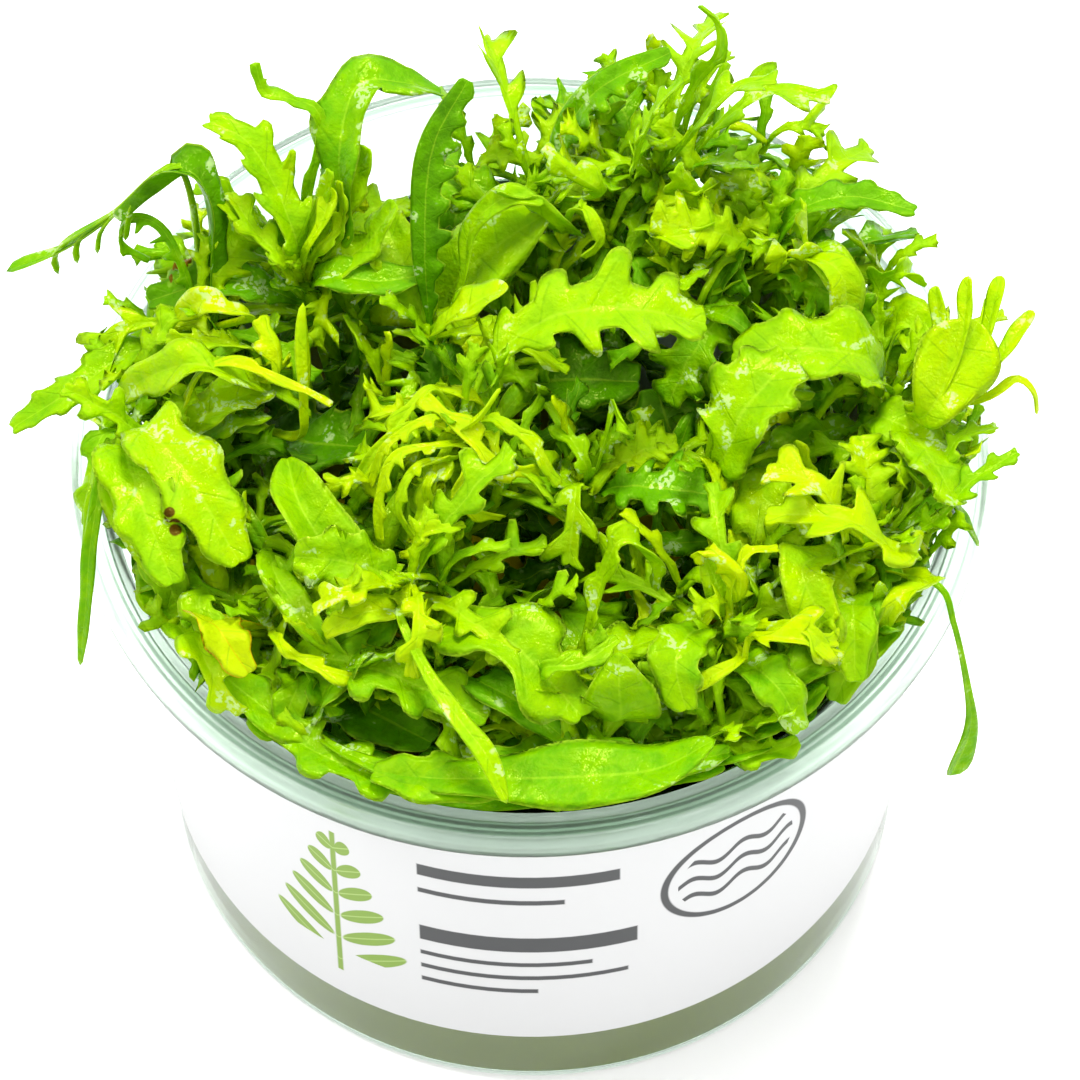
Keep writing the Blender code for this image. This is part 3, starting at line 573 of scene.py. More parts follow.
# Each leaf: its shoot, the height at which it leaves the stem, the points that its midrib passes,
# half its width, its form, its tone, its roll about the midrib, how far it is folded, and its twist
Leaf = namedtuple(
    "Leaf", "shoot height route half_width form tone roll fold twist", defaults=(0.6, 0, 0.25, 0))
LEAVES = {
    "far_left": (
        "left", 73, ((-34, 19, 87), (-37, 22, 91), (-43, 20, 87), (-50, 20, 79), (-57, 19.5, 75)),
        1.0, PENDANT, 0.4),
    "lance_left": ("left", 69, ((-42, 9, 75), (-49, 4, 75), (-56, 1, 72)), 2.6, SAW, 0.55),
    "upright_left": (
        "back_left", 75, ((-25, 17, 84), (-27, 21, 88), (-30, 25, 91), (-34, 27, 92)), 3.2, PLUME, 0.58),
    "folded_left": (
        "back_left", 76, ((-20, 19, 82), (-20, 24, 90), (-18, 30, 94), (-13, 31, 93), (-9, 31, 91)),
        3.7, BROAD, 0.42),
    "tendril_left": (
        "back_left", 72, ((-24, 21, 82), (-22, 27, 92), (-25, 29, 93), (-28, 30, 93), (-29, 32, 96)),
        1.5, RIBBON, 0.5),
    "dark_left": ("back_left", 71, ((-29, 15, 78), (-34, 15, 79), (-41, 14, 77)), 3.2, SAW, 0.3, -15),
    "tall_dark": ("centre_back", 72, ((-11, 15, 84), (-10, 22, 93), (-6, 27, 99)), 3.4, COMB, 0.22, 0, 0.1),
    "spatulate": ("centre_back", 74, ((-10, 6, 82), (-7, 6, 86), (-2, 7, 89)), 2.4, SPOON, 0.78),
    "curved_smooth": (
        "centre_back", 72, ((-7, 14, 80), (-6, 18, 84), (-2, 20, 87), (2, 19, 87)), 1.5, SPOON, 0.6),
    "back_sail": ("centre_back", 67, ((-9, 15, 74), (-5, 17.5, 79), (3, 20.5, 84)), 4.6, PLAIN, 0.6),
    "oak_middle": ("middle_left", 80, ((-4, 0, 85), (3, 3, 89), (11, 3, 90), (19, 3, 87)), 6.8, OAK, 0.64),
    "broad_right": ("centre_right", 75, ((21, -9, 80), (23, -6, 84), (28, -1, 86)), 5.5, BROAD, 0.58),
    "dark_centre": ("middle", 72, ((10, -11, 77), (14, -12, 78), (20, -13, 78)), 4.4, OAK, 0.3),
    "curl_back": (
        "middle_left", 80, ((-10, -4, 86), (-13, -7, 86), (-16, -11, 83), (-16, -15, 79)),
        1.8, RIBBON, 0.8),
    "curl_front": ("middle_left", 77, ((-8, -9, 84), (-10, -14, 85), (-12, -18, 81)), 1.8, STAR, 0.8),
    "glossy_left": ("left_rim", 71, ((-41, -5, 81), (-36.5, -12, 82), (-31, -20.5, 78)), 4.8, BROAD, 0.68),
    "under_left": ("left_rim", 67, ((-43, -9, 75), (-41, -15, 76), (-39, -21, 74)), 3.4, PLAIN, 0.65),
    "hang_left": (
        "left_rim", 73, ((-45, -7, 77), (-47, -14, 74), (-48, -19, 67), (-49, -22, 60)), 0.9, PLAIN, 0.42),
    "yellow_left": ("left_front", 69, ((-34, -26, 75), (-33, -29, 78), (-30, -33, 76)), 3.2, BROAD, 0.9),
    "broad_left_front": (
        "left_front", 64, ((-26, -28, 71), (-21, -31, 75), (-14, -34, 76), (-5, -38, 74)), 5.0, OAK, 0.5),
    "boat": ("front_left", 71, ((-18, -23, 76), (-24, -16, 80), (-26, -8, 79)), 3.3, PLAIN, 0.6, 0, 0.9),
    "drip_front": (
        "front_left", 74, ((-14, -29, 81), (-11, -36, 80), (-8, -41, 79.5), (-5, -45.5, 79),
                           (-3, -49.6, 76.2)),
        1.2, SPOON, 0.66),
    "star_front_left": (
        "front_left", 77, ((-16, -26, 82), (-19, -28, 84), (-23, -29, 82)), 2.6, STAR, 0.85),
    "centre_front": ("front_left", 69, ((-8, -28, 77), (-2, -32, 79), (5, -39, 76)), 6.2, MAPLE, 0.56),
    "front_rim_left": ("front", 66, ((-1, -42, 71), (-9, -45, 73), (-17, -43, 72)), 3.8, BROAD, 0.5),
    "front_rim_right": ("front", 68, ((7, -40, 69.5), (13, -42, 70.5), (20.5, -42, 73)), 3.2, BROAD, 0.45),
    "triangle_front": (
        "front", 70, ((7, -37, 73), (9, -39, 76), (9, -38, 80), (9, -35.5, 83)), 4.4, TRIANGLE, 0.55, -68),
    "glossy_front_right": (
        "front_right", 72, ((17, -30, 78), (15, -35, 80), (16, -39, 77)), 3.4, BROAD, 0.55),
    "low_front_right": ("front_right", 68, ((23, -33, 76), (26, -37, 77), (28, -40, 74)), 3.0, BROAD, 0.5),
    "star_right_front": ("front_right", 74, ((26, -30, 79), (29, -32, 81), (32, -34, 78)), 3.2, STAR, 0.85),
    "yellow_right": ("right_rim", 72, ((33, -18, 81), (30, -16, 85), (25, -14, 84)), 4.4, ANTLER, 0.9),
    "low_right": ("right_rim", 66, ((34, -24, 75), (34, -29, 77), (34, -34, 74)), 3.0, BROAD, 0.6),
    "fern_right": ("right_rim", 70, ((43, -16, 77), (47, -13, 80), (52, -10, 81)), 2.4, FERN, 0.5),
    "dangle_right": (
        "right_rim", 68, ((43, -22, 74), (45, -25, 70.5), (46.5, -28, 63), (47, -30, 57),
                          (45, -32.5, 51.5)),
        1.7, PENDANT, 0.4),
    "hand_right": ("right", 76, ((42, -6, 82), (45, -3, 86), (48, 1.5, 89)), 4.6, SPOON, 0.76, 45),
    "wide_right": ("right", 73, ((37, 1, 82), (30, 1, 85), (22, 2, 83)), 5.0, BROAD, 0.6),
    "back_right_dark": ("back_right", 74, ((29, 19, 84), (35, 20, 86), (42, 18, 86)), 2.3, SAW, 0.38),
    "dark_top": ("back_middle", 72, ((4, 32, 80), (8, 34, 87), (16, 36, 91)), 3.4, COMB, 0.35),
    "tall_back": ("back", 77, ((18, 32, 89), (21, 32, 96), (21, 34, 99), (19, 35, 101)), 1.3, STAR, 0.55),
    "flag_back": ("back", 74, ((21, 29, 87), (27, 30, 92), (33, 28, 93)), 3.4, HAND, 0.6),
    "bright_back": ("back", 74, ((15, 24, 79), (17, 21, 83), (20, 18, 82)), 3.2, OAK, 0.8),
}

# Further leaves of the same kinds, too many to be solids of their own
MORE_LEAVES = {
    "band_front": (
        "left_front", 66, ((-24, -36, 70), (-14, -43.5, 72.5), (-4, -45.6, 74.6), (6, -46.2, 75.8),
                           (13, -46, 76.8), (19, -44, 79.2)),
        4.2, SPOON, 0.44, 0, 0.1),
    "glossy_left_lobe": (
        "left_rim", 71, ((-43, -7, 80), (-41.2, -15, 81), (-38, -23, 78)), 4.0, BROAD, 0.62),
    "rim_right_a": ("front_right", 62, ((23, -36, 69), (27, -37, 72), (31, -34, 73)), 3.4, BROAD, 0.5),
    "rim_right_e": ("front", 60, ((10, -39, 66), (14, -42.5, 69), (20, -42, 70.5)), 2.6, BROAD, 0.5),
    "rim_right_c": ("front_right", 60, ((17, -38, 68), (20, -41, 70.5), (25, -40, 71)), 3.0, BROAD, 0.45),
    "rim_right_d": ("front_right", 64, ((21, -38, 70), (24, -41, 71), (28, -39.5, 71)), 2.6, OAK, 0.62),
    "hand_finger_a": ("right", 76, ((42, -5, 83), (44, -1, 87), (43.5, 4.5, 91.5)), 1.1, FINGER, 0.74),
    "hand_finger_b": ("right", 76, ((43, -5, 83), (46, -1, 88), (47, 5, 92.5)), 1.1, FINGER, 0.78),
    "hand_finger_c": ("right", 76, ((43, -5, 83), (48, -1, 87), (50.6, 6, 91)), 1.1, FINGER, 0.76),
    "hand_finger_d": ("right", 76, ((44, -7, 83), (49, -3, 86), (54, 3.5, 88)), 1.0, FINGER, 0.75),
    "rim_right_b": ("right_rim", 62, ((35, -25, 70), (37, -27, 72), (35, -31, 73)), 3.0, BROAD, 0.55),
    "rim_left_a": ("left_rim", 62, ((-40, -16, 69), (-39, -22, 71), (-36, -27, 72)), 3.0, BROAD, 0.55),
    "withered_scrap": ("left", 72, ((-37, 15, 77), (-38, 17, 79), (-36, 18, 79)), 1.3, STAR, 0.5),
    "whorl_a": ("back_left", 77, ((-26, 15, 83), (-29, 17, 85), (-32, 21, 87)), 2.4, ANTLER, 0.72),
    "whorl_b": ("back_left", 77, ((-24, 16, 83), (-22, 18, 86), (-21, 21, 88)), 1.2, FINGER, 0.8),
    "whorl_c": ("back_left", 76, ((-24, 18, 83), (-22, 20, 87), (-21, 21, 91)), 1.3, SAW, 0.65),
    "whorl_d": ("back_left", 74, ((-22, 15, 80), (-16, 14, 80), (-10, 15, 80)), 2.4, PLAIN, 0.4),
    "far_arch": (
        "left", 73, ((-34, 18, 86), (-36, 21, 91), (-40, 20, 89), (-44, 19, 85)),
        2.6, BROAD, 0.22, 0, 0.6, 40),
    "far_finger_a": (
        "left", 73, ((-34, 19, 87), (-37, 22, 91), (-42, 20, 88), (-43.5, 18.5, 82)), 0.6, PENDANT, 0.45),
    "far_finger_b": (
        "left", 73, ((-37, 22, 90), (-43, 20, 87), (-46, 19.5, 83), (-46.7, 18.5, 79.5)),
        0.5, PENDANT, 0.5),
    "far_finger_c": (
        "left", 73, ((-37, 22, 90), (-44, 20, 86), (-48.5, 20, 80.5), (-49, 19, 77)), 0.7, PENDANT, 0.5),
    "far_finger_d": (
        "left", 73, ((-37, 22, 90), (-45, 20, 85), (-51, 20, 78.5), (-51.2, 19, 75)), 0.75, PENDANT, 0.5),
    "far_branch": (
        "left", 74, ((-39, 18, 84), (-43, 20, 84), (-44, 19, 81), (-41, 18, 79)), 2.2, FRINGE, 0.4, -40),
    "second_upright": ("back_left", 73, ((-26, 16, 80), (-29, 18, 84), (-33, 20, 87)), 2.4, PLUME, 0.7),
    "narrow_upright": ("back_left", 75, ((-23, 17, 81), (-20, 19, 84), (-20, 21, 89)), 1.4, STAR, 0.75),
    "thin_upright": ("back_left", 76, ((-26, 19, 82), (-26, 22, 87), (-25, 24, 91)), 1.0, PLAIN, 0.7),
    "left_fan_a": ("back_left", 71, ((-21, 16, 79), (-17, 18, 82), (-14, 20, 86)), 2.6, BROAD, 0.6),
    "left_fan_c": ("back_left", 73, ((-21, 20, 83), (-18, 23, 88), (-17, 24, 91)), 2.6, BROAD, 0.62),
    "arch_left": (
        "left", 70, ((-30, 2, 79), (-32, 0, 83), (-36, 1, 84), (-41, 2, 80), (-44, 2, 76)),
        3.0, BROAD, 0.72),
    "star_left": ("left", 72, ((-28, 2, 79), (-27, 3, 83), (-29, 6, 85)), 3.4, STAR, 0.95),
    "streak_left": (
        "left_rim", 72, ((-36, 0, 82), (-32, 1, 84), (-25, -2, 84), (-21, -4, 83)), 1.1, STAR, 0.95),
    "upright_bright": (
        "left", 60, ((-25, -2, 74), (-24, -1, 80), (-24, 3, 85), (-24, 6, 88)), 1.3, SPOON, 0.85),
    "crescent": ("left", 74, ((-30, 9, 81), (-32, 8, 84), (-35, 9, 84), (-38, 10, 80)), 1.7, SPOON, 0.9),
    "under_lance": ("left", 66, ((-36, 10, 76), (-39, 8, 76), (-44, 6, 73)), 2.6, BROAD, 0.55),
    "feather": ("left", 74, ((-31, 6, 80), (-35, 6, 81), (-39, 7, 80)), 2.2, FERN, 0.75),
    "hang_left_pair": ("left_rim", 71, ((-45, -6, 76), (-47, -10, 74), (-48, -14, 70)), 0.9, PLAIN, 0.55),
    "narrow_left": ("left_front", 70, ((-27, -29, 76), (-23, -33, 77), (-18, -34, 76)), 1.4, RIBBON, 0.9),
    "rim_gloss_left": (
        "left_front", 66, ((-35, -26, 73), (-34, -32, 74), (-31, -35, 71)), 2.8, ANTLER, 0.75),
    "bright_fork": (
        "middle_left", 76, ((-11, -5, 86), (-7, -11, 88), (-3, -14, 86), (1, -13, 83)), 2.2, STAR, 0.92),
    "horn": ("middle_left", 79, ((-7, -10, 87), (-5, -10, 90), (-3, -8, 92)), 0.8, PLAIN, 0.9),
    "arm_left": ("middle_left", 80, ((-10, -9, 88), (-15, -11, 86), (-17, -13, 81)), 1.8, FRINGE, 0.88),
    "ribbon_a": (
        "middle_left", 78, ((-8, -11, 86), (-14, -13, 87), (-16, -16, 83), (-16, -19, 79)),
        2.0, FRINGE, 0.85),
    "ribbon_b": (
        "middle_left", 76, ((-8, -12, 85), (-12, -14, 86), (-14, -17, 83), (-12, -19, 79)),
        1.7, FRINGE, 0.82, 20),
    "ribbon_c": ("middle_left", 78, ((-10, -14, 85), (-11, -16, 84), (-9, -17, 79)), 1.0, RIBBON, 0.8),
    "ribbon_d": (
        "middle_left", 74, ((-6, -13, 85), (-8, -16, 84), (-6, -17, 82), (-3, -16, 79)), 1.1, RIBBON, 0.9),
    "ribbon_e": (
        "middle_left", 77, ((-12, -8, 85), (-16, -10, 84), (-19, -12, 79)), 2.1, FRINGE, 0.75, -20),
    "ribbon_f": ("front_left", 78, ((-12, -21, 83), (-9, -21, 85), (-7, -20, 84)), 1.2, STAR, 0.8),
    "long_gloss": ("front_left", 66, ((-27, -19, 76), (-24, -27, 77), (-18, -32, 74)), 1.9, PLAIN, 0.55),
    "wing_white": ("front_left", 72, ((-14, -27, 79), (-18, -29, 81), (-22, -30, 79)), 2.2, BROAD, 0.85),
    "star_spread": ("front_left", 78, ((-12, -28, 82), (-12, -32, 82), (-13, -35, 78)), 2.6, STAR, 0.88),
    "antler_front": ("front", 69, ((1, -35, 79), (5, -35, 80), (9, -32, 80)), 2.0, ANTLER, 0.55),
    "star_up": ("middle", 72, ((6, -9, 78), (4, -6, 80), (2, -2, 80)), 1.8, ANTLER, 0.55),
    "star_down": ("middle", 72, ((5, -12, 79), (4.5, -16, 79), (4, -20, 76)), 4.0, HAND, 0.66),
    "twig_up": ("middle", 73, ((8, -7, 80), (9, -5, 83), (10, -8, 84), (11, -8, 82)), 1.1, RIBBON, 0.6),
    "star_left_arm": ("middle", 72, ((2, -11, 78), (-2, -11, 79)), 1.8, STAR, 0.5),
    "hook_front": (
        "front", 70, ((7, -25, 78), (9, -22, 83), (11, -22, 83), (13, -23, 80), (13, -24, 77)),
        2.0, ANTLER, 0.62),
    "curl_hook": (
        "back_middle", 74, ((4, 20, 81), (5, 19, 86), (7, 17, 88), (8, 15, 86), (6, 14, 84)),
        1.3, STAR, 0.75),
    "three_lobe_back": ("back_right", 76, ((30, 14, 83), (30, 15, 86), (30, 17, 89)), 3.0, HAND, 0.8),
    "side_lobe_back": ("back_right", 77, ((30, 13, 84), (28, 12, 87), (26, 12, 84)), 2.4, STAR, 0.8),
    "spatula_right": ("back_right", 77, ((31, 12, 86), (34, 9, 86), (34, 5, 80)), 2.2, SPOON, 0.75),
    "pale_tip": ("right", 74, ((48, -4, 82), (52, -2, 83), (54, -3, 82), (54.5, -4, 79)), 0.6, PLAIN, 1.0),
    "big_bright_right": (
        "right_rim", 70, ((41, -20, 77), (38, -21, 80), (33, -20, 84), (25, -18, 82)), 4.4, ANTLER, 0.85),
    "pod_right": ("right_rim", 72, ((44, -14, 78), (46, -15, 76), (48, -16, 72)), 1.2, PLAIN, 0.4),
    "fern_right_curl": ("right_rim", 73, ((44, -10, 79), (46, -8, 81), (50, -6, 80)), 1.8, FERN, 0.55),
    "star_yellow": (
        "centre_right", 68, ((21, -25, 77), (22, -26, 82), (19, -24, 84), (17, -24, 83)), 3.0, STAR, 0.95),
    "thin_yellow": ("front_right", 76, ((21, -26, 81), (23, -24, 84), (26, -23, 83)), 1.0, RIBBON, 0.92),
    "fork_yellow": (
        "front_right", 72, ((22, -33, 77), (23, -32, 80), (28, -33, 81), (32, -32, 79)), 3.0, HAND, 0.9),
    "fork_back": ("front_right", 73, ((22, -33, 78), (19, -36, 79), (15, -37, 77)), 0.9, SPOON, 0.95),
    "droop_right": ("right_rim", 74, ((29, -23, 80), (30, -28, 79), (32, -32, 73)), 3.2, BROAD, 0.7),
    "curl_rim_right": ("right_rim", 68, ((42, -23, 76), (39, -26, 78), (37, -28, 75)), 1.9, BROAD, 0.85),
    "blade_rim_right": ("right_rim", 64, ((34, -25, 76), (34, -30, 74), (32, -34, 70)), 3.4, BROAD, 0.5),
    "wall_left_a": (
        "left_front", 62, ((-30, -31, 68), (-25, -38, 70), (-17, -42.5, 70.5), (-8, -44.5, 70)),
        3.6, OAK, 0.45),
    "ledge_left": (
        "left_front", 58, ((-26, -31, 62), (-18, -38.5, 65), (-9, -42.5, 66), (1, -43.5, 66)),
        2.6, BROAD, 0.4),
    # The deep leaves sit low in the heap and have its darkest tones, partly painted shade where the leaves
    # above keep the light off them.
    "deep_front_left": (
        "left_front", 57, ((-22, -26, 62), (-18, -31, 65), (-11, -36, 66)), 5.0, BROAD, 0.25),
    "deep_left": ("left", 58, ((-27, 6, 62), (-24, 3, 65), (-18, 1, 67)), 5.5, BROAD, 0.2),
    "deep_back_left": ("back_left", 60, ((-19, 17, 66), (-14, 19, 68), (-8, 20, 68)), 5.0, BROAD, 0.25),
    "deep_back": ("centre_back", 62, ((-9, 20, 66), (-8, 28, 69), (-7, 34, 70)), 5.0, BROAD, 0.35),
    "deep_centre": ("centre_back", 60, ((-4, 9, 64), (3, 10, 66), (12, 9, 67)), 5.5, BROAD, 0.2),
    "deep_right": ("centre_right", 58, ((17, -3, 62), (16, 1, 65), (14, 8, 67)), 5.5, BROAD, 0.2),
    "wall_left_b": ("left_front", 60, ((-33, -28, 69), (-29, -34, 71), (-23, -38, 70)), 3.4, MAPLE, 0.5),
    "wall_right_a": ("front_right", 62, ((22, -35, 70), (27, -33, 73), (33, -29, 73)), 3.4, BROAD, 0.5),
    "wall_right_b": ("front_right", 63, ((17, -38, 70), (21, -38, 72), (27, -35, 71)), 3.2, OAK, 0.55),
    "dark_front": ("front", 66, ((-6, -33, 74), (-1, -37, 75), (4, -40, 72)), 2.4, PLAIN, 0.35),
    "flag_middle": ("back", 72, ((19, 20, 80), (18, 21, 86), (16, 21, 90)), 3.2, ANTLER, 0.65),
    "triangle_back": ("back", 74, ((14, 17, 84), (17, 16, 85), (20, 18, 84)), 2.8, STAR, 0.7),
    "fill_back_a": ("back_middle", 76, ((8, 21, 86), (5, 21, 90), (2, 23, 92)), 2.2, ANTLER, 0.65),
    "fill_back_b": ("back", 78, ((12, 24, 88), (14, 26, 94), (17, 28, 97)), 2.8, FERN, 0.6),
    "fill_back_c": ("back", 78, ((19, 26, 92), (23, 27, 97), (27, 27, 98)), 2.6, HAND, 0.6),
    "fill_back_d": ("back_middle", 74, ((4, 19, 82), (0, 20, 86), (-3, 20, 88)), 2.6, BROAD, 0.55),
    "fill_right_a": ("right", 72, ((40, 8, 79), (43, 4, 79), (46, 1, 76)), 3.0, BROAD, 0.7),
    "fill_right_b": ("right", 75, ((38, 11, 80), (40, 12, 83), (43, 11, 82)), 2.4, FERN, 0.6),
    "fill_right_c": ("right", 72, ((38, -4, 79), (43, -6, 78), (48, -6, 76)), 3.4, BROAD, 0.6),
    "fill_left_a": ("left_rim", 71, ((-45, -3, 77), (-47, -7, 76), (-48, -11, 71)), 2.0, ANTLER, 0.5),
    "fill_left_b": ("left_rim", 66, ((-40, -14, 74), (-39, -19, 73), (-37, -23, 69)), 2.6, BROAD, 0.55),
    "fill_left_c": ("left_front", 66, ((-35, -22, 74), (-34, -27, 73), (-31, -30, 69)), 2.6, OAK, 0.6),
    "fill_front": ("left_front", 64, ((-25, -32, 72), (-26, -35, 71), (-24, -38, 68)), 2.4, BROAD, 0.5),
    "back_right_drop": ("back_right", 74, ((31, 14, 84), (34, 9, 85), (35, 5, 81)), 2.2, PLAIN, 0.6),
    "curl_right": ("middle_left", 78, ((-4, -8, 86), (0, -11, 86), (3, -14, 82)), 1.4, ANTLER, 0.8),
    "left_upper": ("back_left", 70, ((-30, 20, 80), (-32, 23, 83), (-36, 24, 84)), 2.6, ANTLER, 0.6),
}


def stem_point(shoot, height):
    """Middle of a stem, which leaves the gel upright and leans more the higher it is."""
    lean = ((height - ROOTED_HEIGHT) / (shoot.tip[2] - ROOTED_HEIGHT)) ** 3
    foot, tip = Vector(shoot.foot), Vector(shoot.tip[:2])
    return (foot + (tip - foot) * lean).to_3d() + UP * height


def curve_point(points, along):
    """Point at a share from 0 to 1 of the way along a smooth curve through the points."""
    lengths = [(b - a).length for a, b in zip(points, points[1:])]
    reach = min(max(along, 0), 1) * sum(lengths)
    step = 0
    while step < len(lengths) - 1 and reach > lengths[step]:
        reach -= lengths[step]
        step += 1
    t = reach / lengths[step]
    start, end = points[step], points[step + 1]
    before = points[step - 1] if step else start * 2 - end
    after = points[step + 2] if step + 2 < len(points) else end * 2 - start
    return 0.5 * (
        2 * start + (end - before) * t + (2 * before - 5 * start + 4 * end - after) * t ** 2
        + (3 * start - before - 3 * end + after) * t ** 3)


class Blade:
    """The outline and the lie of one leaf."""

    def __init__(self, points, form, half_width, seed, roll=0, fold=0.25, twist=0, ruffle=RUFFLE):
        draw = random.Random(seed)
        self.points, self.form, self.half_width = points, form, half_width
        self.roll, self.fold, self.twist, self.ruffle = roll, fold, twist, ruffle
        self.sizes = [draw.uniform(*LOBE_SIZES) for lobe in range(2 * form.lobes + 3)]
        self.shift = draw.uniform(-LOBE_SHIFT, LOBE_SHIFT)
        self.waves = (draw.uniform(*RUFFLE_WAVES), draw.uniform(0, 6.28), draw.uniform(0, 6.28))
        self.length = sum((b - a).length for a, b in zip(points, points[1:]))
        self.heading = (points[-1] - points[0]).cross(UP).normalized()
        self.tip = TIP_HALF_WIDTH + (BLUNT_TIP * half_width if form.blunt else 0)
        self.rounded = 1 - self.tip / (self.length * (1 - form.stalk))

    def lobe(self, side, share):
        """Where a share of the blade lies in its lobe, from notch to notch, and how long the lobe is."""
        along = self.form.lobes * share + (0.5 if side < 0 else 0) + self.shift * math.sin(math.pi * share)
        return along - math.floor(along), self.sizes[2 * max(int(along), 0) % len(self.sizes) - (side < 0)]

    def width(self, side, share):
        """Half width of the blade on one side."""
        form = self.form
        if share >= 1:
            return 0.0
        edge = STALK_HALF_WIDTH + (self.tip - STALK_HALF_WIDTH) * share
        end = max(share - self.rounded, 0) / (1 - self.rounded)
        swell = math.sin(math.pi * max(share, 0) ** (math.log(0.5) / math.log(form.belly)))
        full = (self.half_width - edge) * max(swell, 0) ** SWELL_POWER
        if form.bare == side:
            full *= 1 - form.cut
        elif form.lobes:
            phase, size = self.lobe(side, share)
            crest = -math.cos(2 * math.pi * phase)
            size *= (1 - LOBE_DOME * (1 - crest)) / (1 + math.exp(form.blunt * (form.gap - crest)))
            full *= 1 - form.cut * (1 - size)
        return (edge + full) * math.sqrt(1 - end ** 2)

    def places(self, rows, step):
        """Places of the rows along the blade, closer together where the margin runs across it."""
        shares = np.linspace(0, 1, MARGIN_SAMPLES)
        blade = self.length * (1 - self.form.stalk)
        steps = np.zeros(MARGIN_SAMPLES - 1)
        for side in (-1, 1):
            widths = np.array([self.width(side, share) for share in shares])
            steps += np.hypot(np.diff(shares) * blade, np.diff(widths))
        reach = np.concatenate(([0], np.cumsum(steps)))
        count = rows + int((reach[-1] - 2 * blade) / step)
        return list(np.interp(np.linspace(0, reach[-1], count + 1), reach, shares))

    def lie(self, share):
        """Middle, and ways ahead, across and up, at a share of the blade (below 0 on its stalk)."""
        start = self.form.stalk
        along = start * (1 + share) if share < 0 else start + (1 - start) * share
        middle = curve_point(self.points, along)
        before, after = (curve_point(self.points, along + step) for step in (-NEARBY, NEARBY))
        ahead = (after - before).normalized()
        across = (self.heading - ahead * self.heading.dot(ahead)).normalized()
        across.rotate(Matrix.Rotation(math.radians(self.roll + self.twist * along), 3, ahead))
        return middle, ahead, across, across.cross(ahead)

    def add(self, bm, layer, tone, rows, step, columns):
        """Add the leaf to a mesh as one closed thin body."""
        stalk_rows = max(rows // STALK_ROWS, 2)
        shares = [row / stalk_rows - 1 for row in range(stalk_rows)] + self.places(rows, step)
        lies = [self.lie(share) for share in shares]
        last = len(shares) - 1
        verts = bmesh.ops.create_grid(bm, x_segments=2 * columns, y_segments=last, size=1)["verts"]
        for vert in verts:
            column = round((vert.co.x + 1) * columns)
            row = round((vert.co.y + 1) / 2 * last)
            share, (middle, ahead, across, up) = shares[row], lies[row]
            place = 2 * min(column, 2 * columns - column) / columns - 1
            side = math.copysign(abs(place) ** COLUMN_SPREAD, place)
            width = self.width(math.copysign(1, side), share) if share >= 0 else STALK_HALF_WIDTH
            out = abs(side)
            lift = self.fold * out * width
            if share > 0:
                count, first, second = self.waves
                lift += self.ruffle * width * out ** RUFFLE_EDGE * math.sin(
                    2 * math.pi * count * share + (first if side < 0 else second))
                if self.form.lobes:
                    crest = -math.cos(2 * math.pi * self.lobe(side, share)[0])
                    lift += LOBE_PUFF * min(width, PUFF_REACH) * out * (1 - out) * crest
            round_rib = math.sqrt(max(0, 1 - (side * width / STALK_HALF_WIDTH) ** 2))
            rib = RIB_THICK * (1 - RIB_TAPER * max(share, 0)) * round_rib
            sheet = SHEET_THICK * (1 - out ** SHEET_EDGE)
            if row in (0, last):
                rib = sheet = 0
            if column <= columns:
                lift += sheet / 2 + rib * (0.5 if share < 0 else -RIB_ABOVE)
            else:
                lift -= sheet / 2 + rib * (0.5 if share < 0 else 1 - RIB_ABOVE)
            forward = self.form.forward * out * width if share > 0 else 0
            vert.co = middle + across * side * width + ahead * forward + up * lift
            vert[layer] = (side, (self.form.lobes or 4) * max(share, 0), tone)
        bmesh.ops.remove_doubles(bm, verts=verts, dist=WELD)


for name, row in {**LEAVES, **MORE_LEAVES}.items():
    leaf = Leaf(*row)
    blade_mesh = bmesh.new()
    layer = blade_mesh.verts.layers.float_vector.new("leaf_map")
    route = [stem_point(SHOOTS[leaf.shoot], leaf.height), *map(Vector, leaf.route)]
    form = Blade(route, leaf.form, leaf.half_width, name, leaf.roll, leaf.fold, leaf.twist)
    form.add(blade_mesh, layer, leaf.tone, *LARGE_MESH)
    blade = in_metres("blade_" + name, blade_mesh, OWN_FINISHES.get(name, leaf_finish))
    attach(blade, "root")
    if name in LEAVES:
        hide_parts("leaf_" + name)


# Plantlets: each has a main stem rooted in the gel and short side shoots, with whorls of small
# curled leaves at their tips. All of one plantlet's small growth is one piece, as it grew.
STEM_RADII, STEM_SIDES, STEM_TONE = (1.2,) * 11 + (0.9, 0.5), 8, 0.6
TWIG_RADII, TWIG_SIDES, TWIG_TONE = (0.8, 0.75, 0.7, 0.7, 0.65, 0.6, 0.3), 6, 0.65
TWIG_FEET, TWIG_SPREAD, TWIG_DIP, TWIG_BEND = (16, 26), (3.5, 1.7), (1.5, 0.3, 3), (0.55, 1.5)
TWIG_PAIRS, PAIR_PITCH, PAIR_STRAY = 4, 0.1, 30  # PAIR_PITCH is a share of the twig
GOLDEN_ANGLE = 137.5
YOUNG_PAIRS = ((25.0, 40, 8.0, 2.0), (13.0, 30, 10.0, 2.3), (1.6, 74, 9.0, 1.8))  # below tip, rise, size
YOUNG_DROOP, YOUNG_FOLD, YOUNG_TONE = 40, 0.3, (0.4, 0.7)
CROWN_PLACES, OLD_PLACES = (2, 1.6, 20), (14, 5, 70)  # below tip, to the next one, and first turn
OLD_LEAVES, RIM_LEAVES, RIM_FAN, RIM_DEPTHS = 8, 6, 150, (8, 18)
CUP_ROOM, LEDGE_ROOM, RIM_ROOM, RIM_SLOPE = 39.5, 44.5, 30.0, 0.4
WALL_ROOM, STEP_ROOM, PRESSED = 40.2, 45.0, 0.1
SMALL_FORMS = (STAR, STAR, ANTLER, HAND, RIBBON, RIBBON, PLAIN)
CROWN_FORMS = (OAK, ANTLER, HAND, STAR, FERN, BROAD, ANTLER)
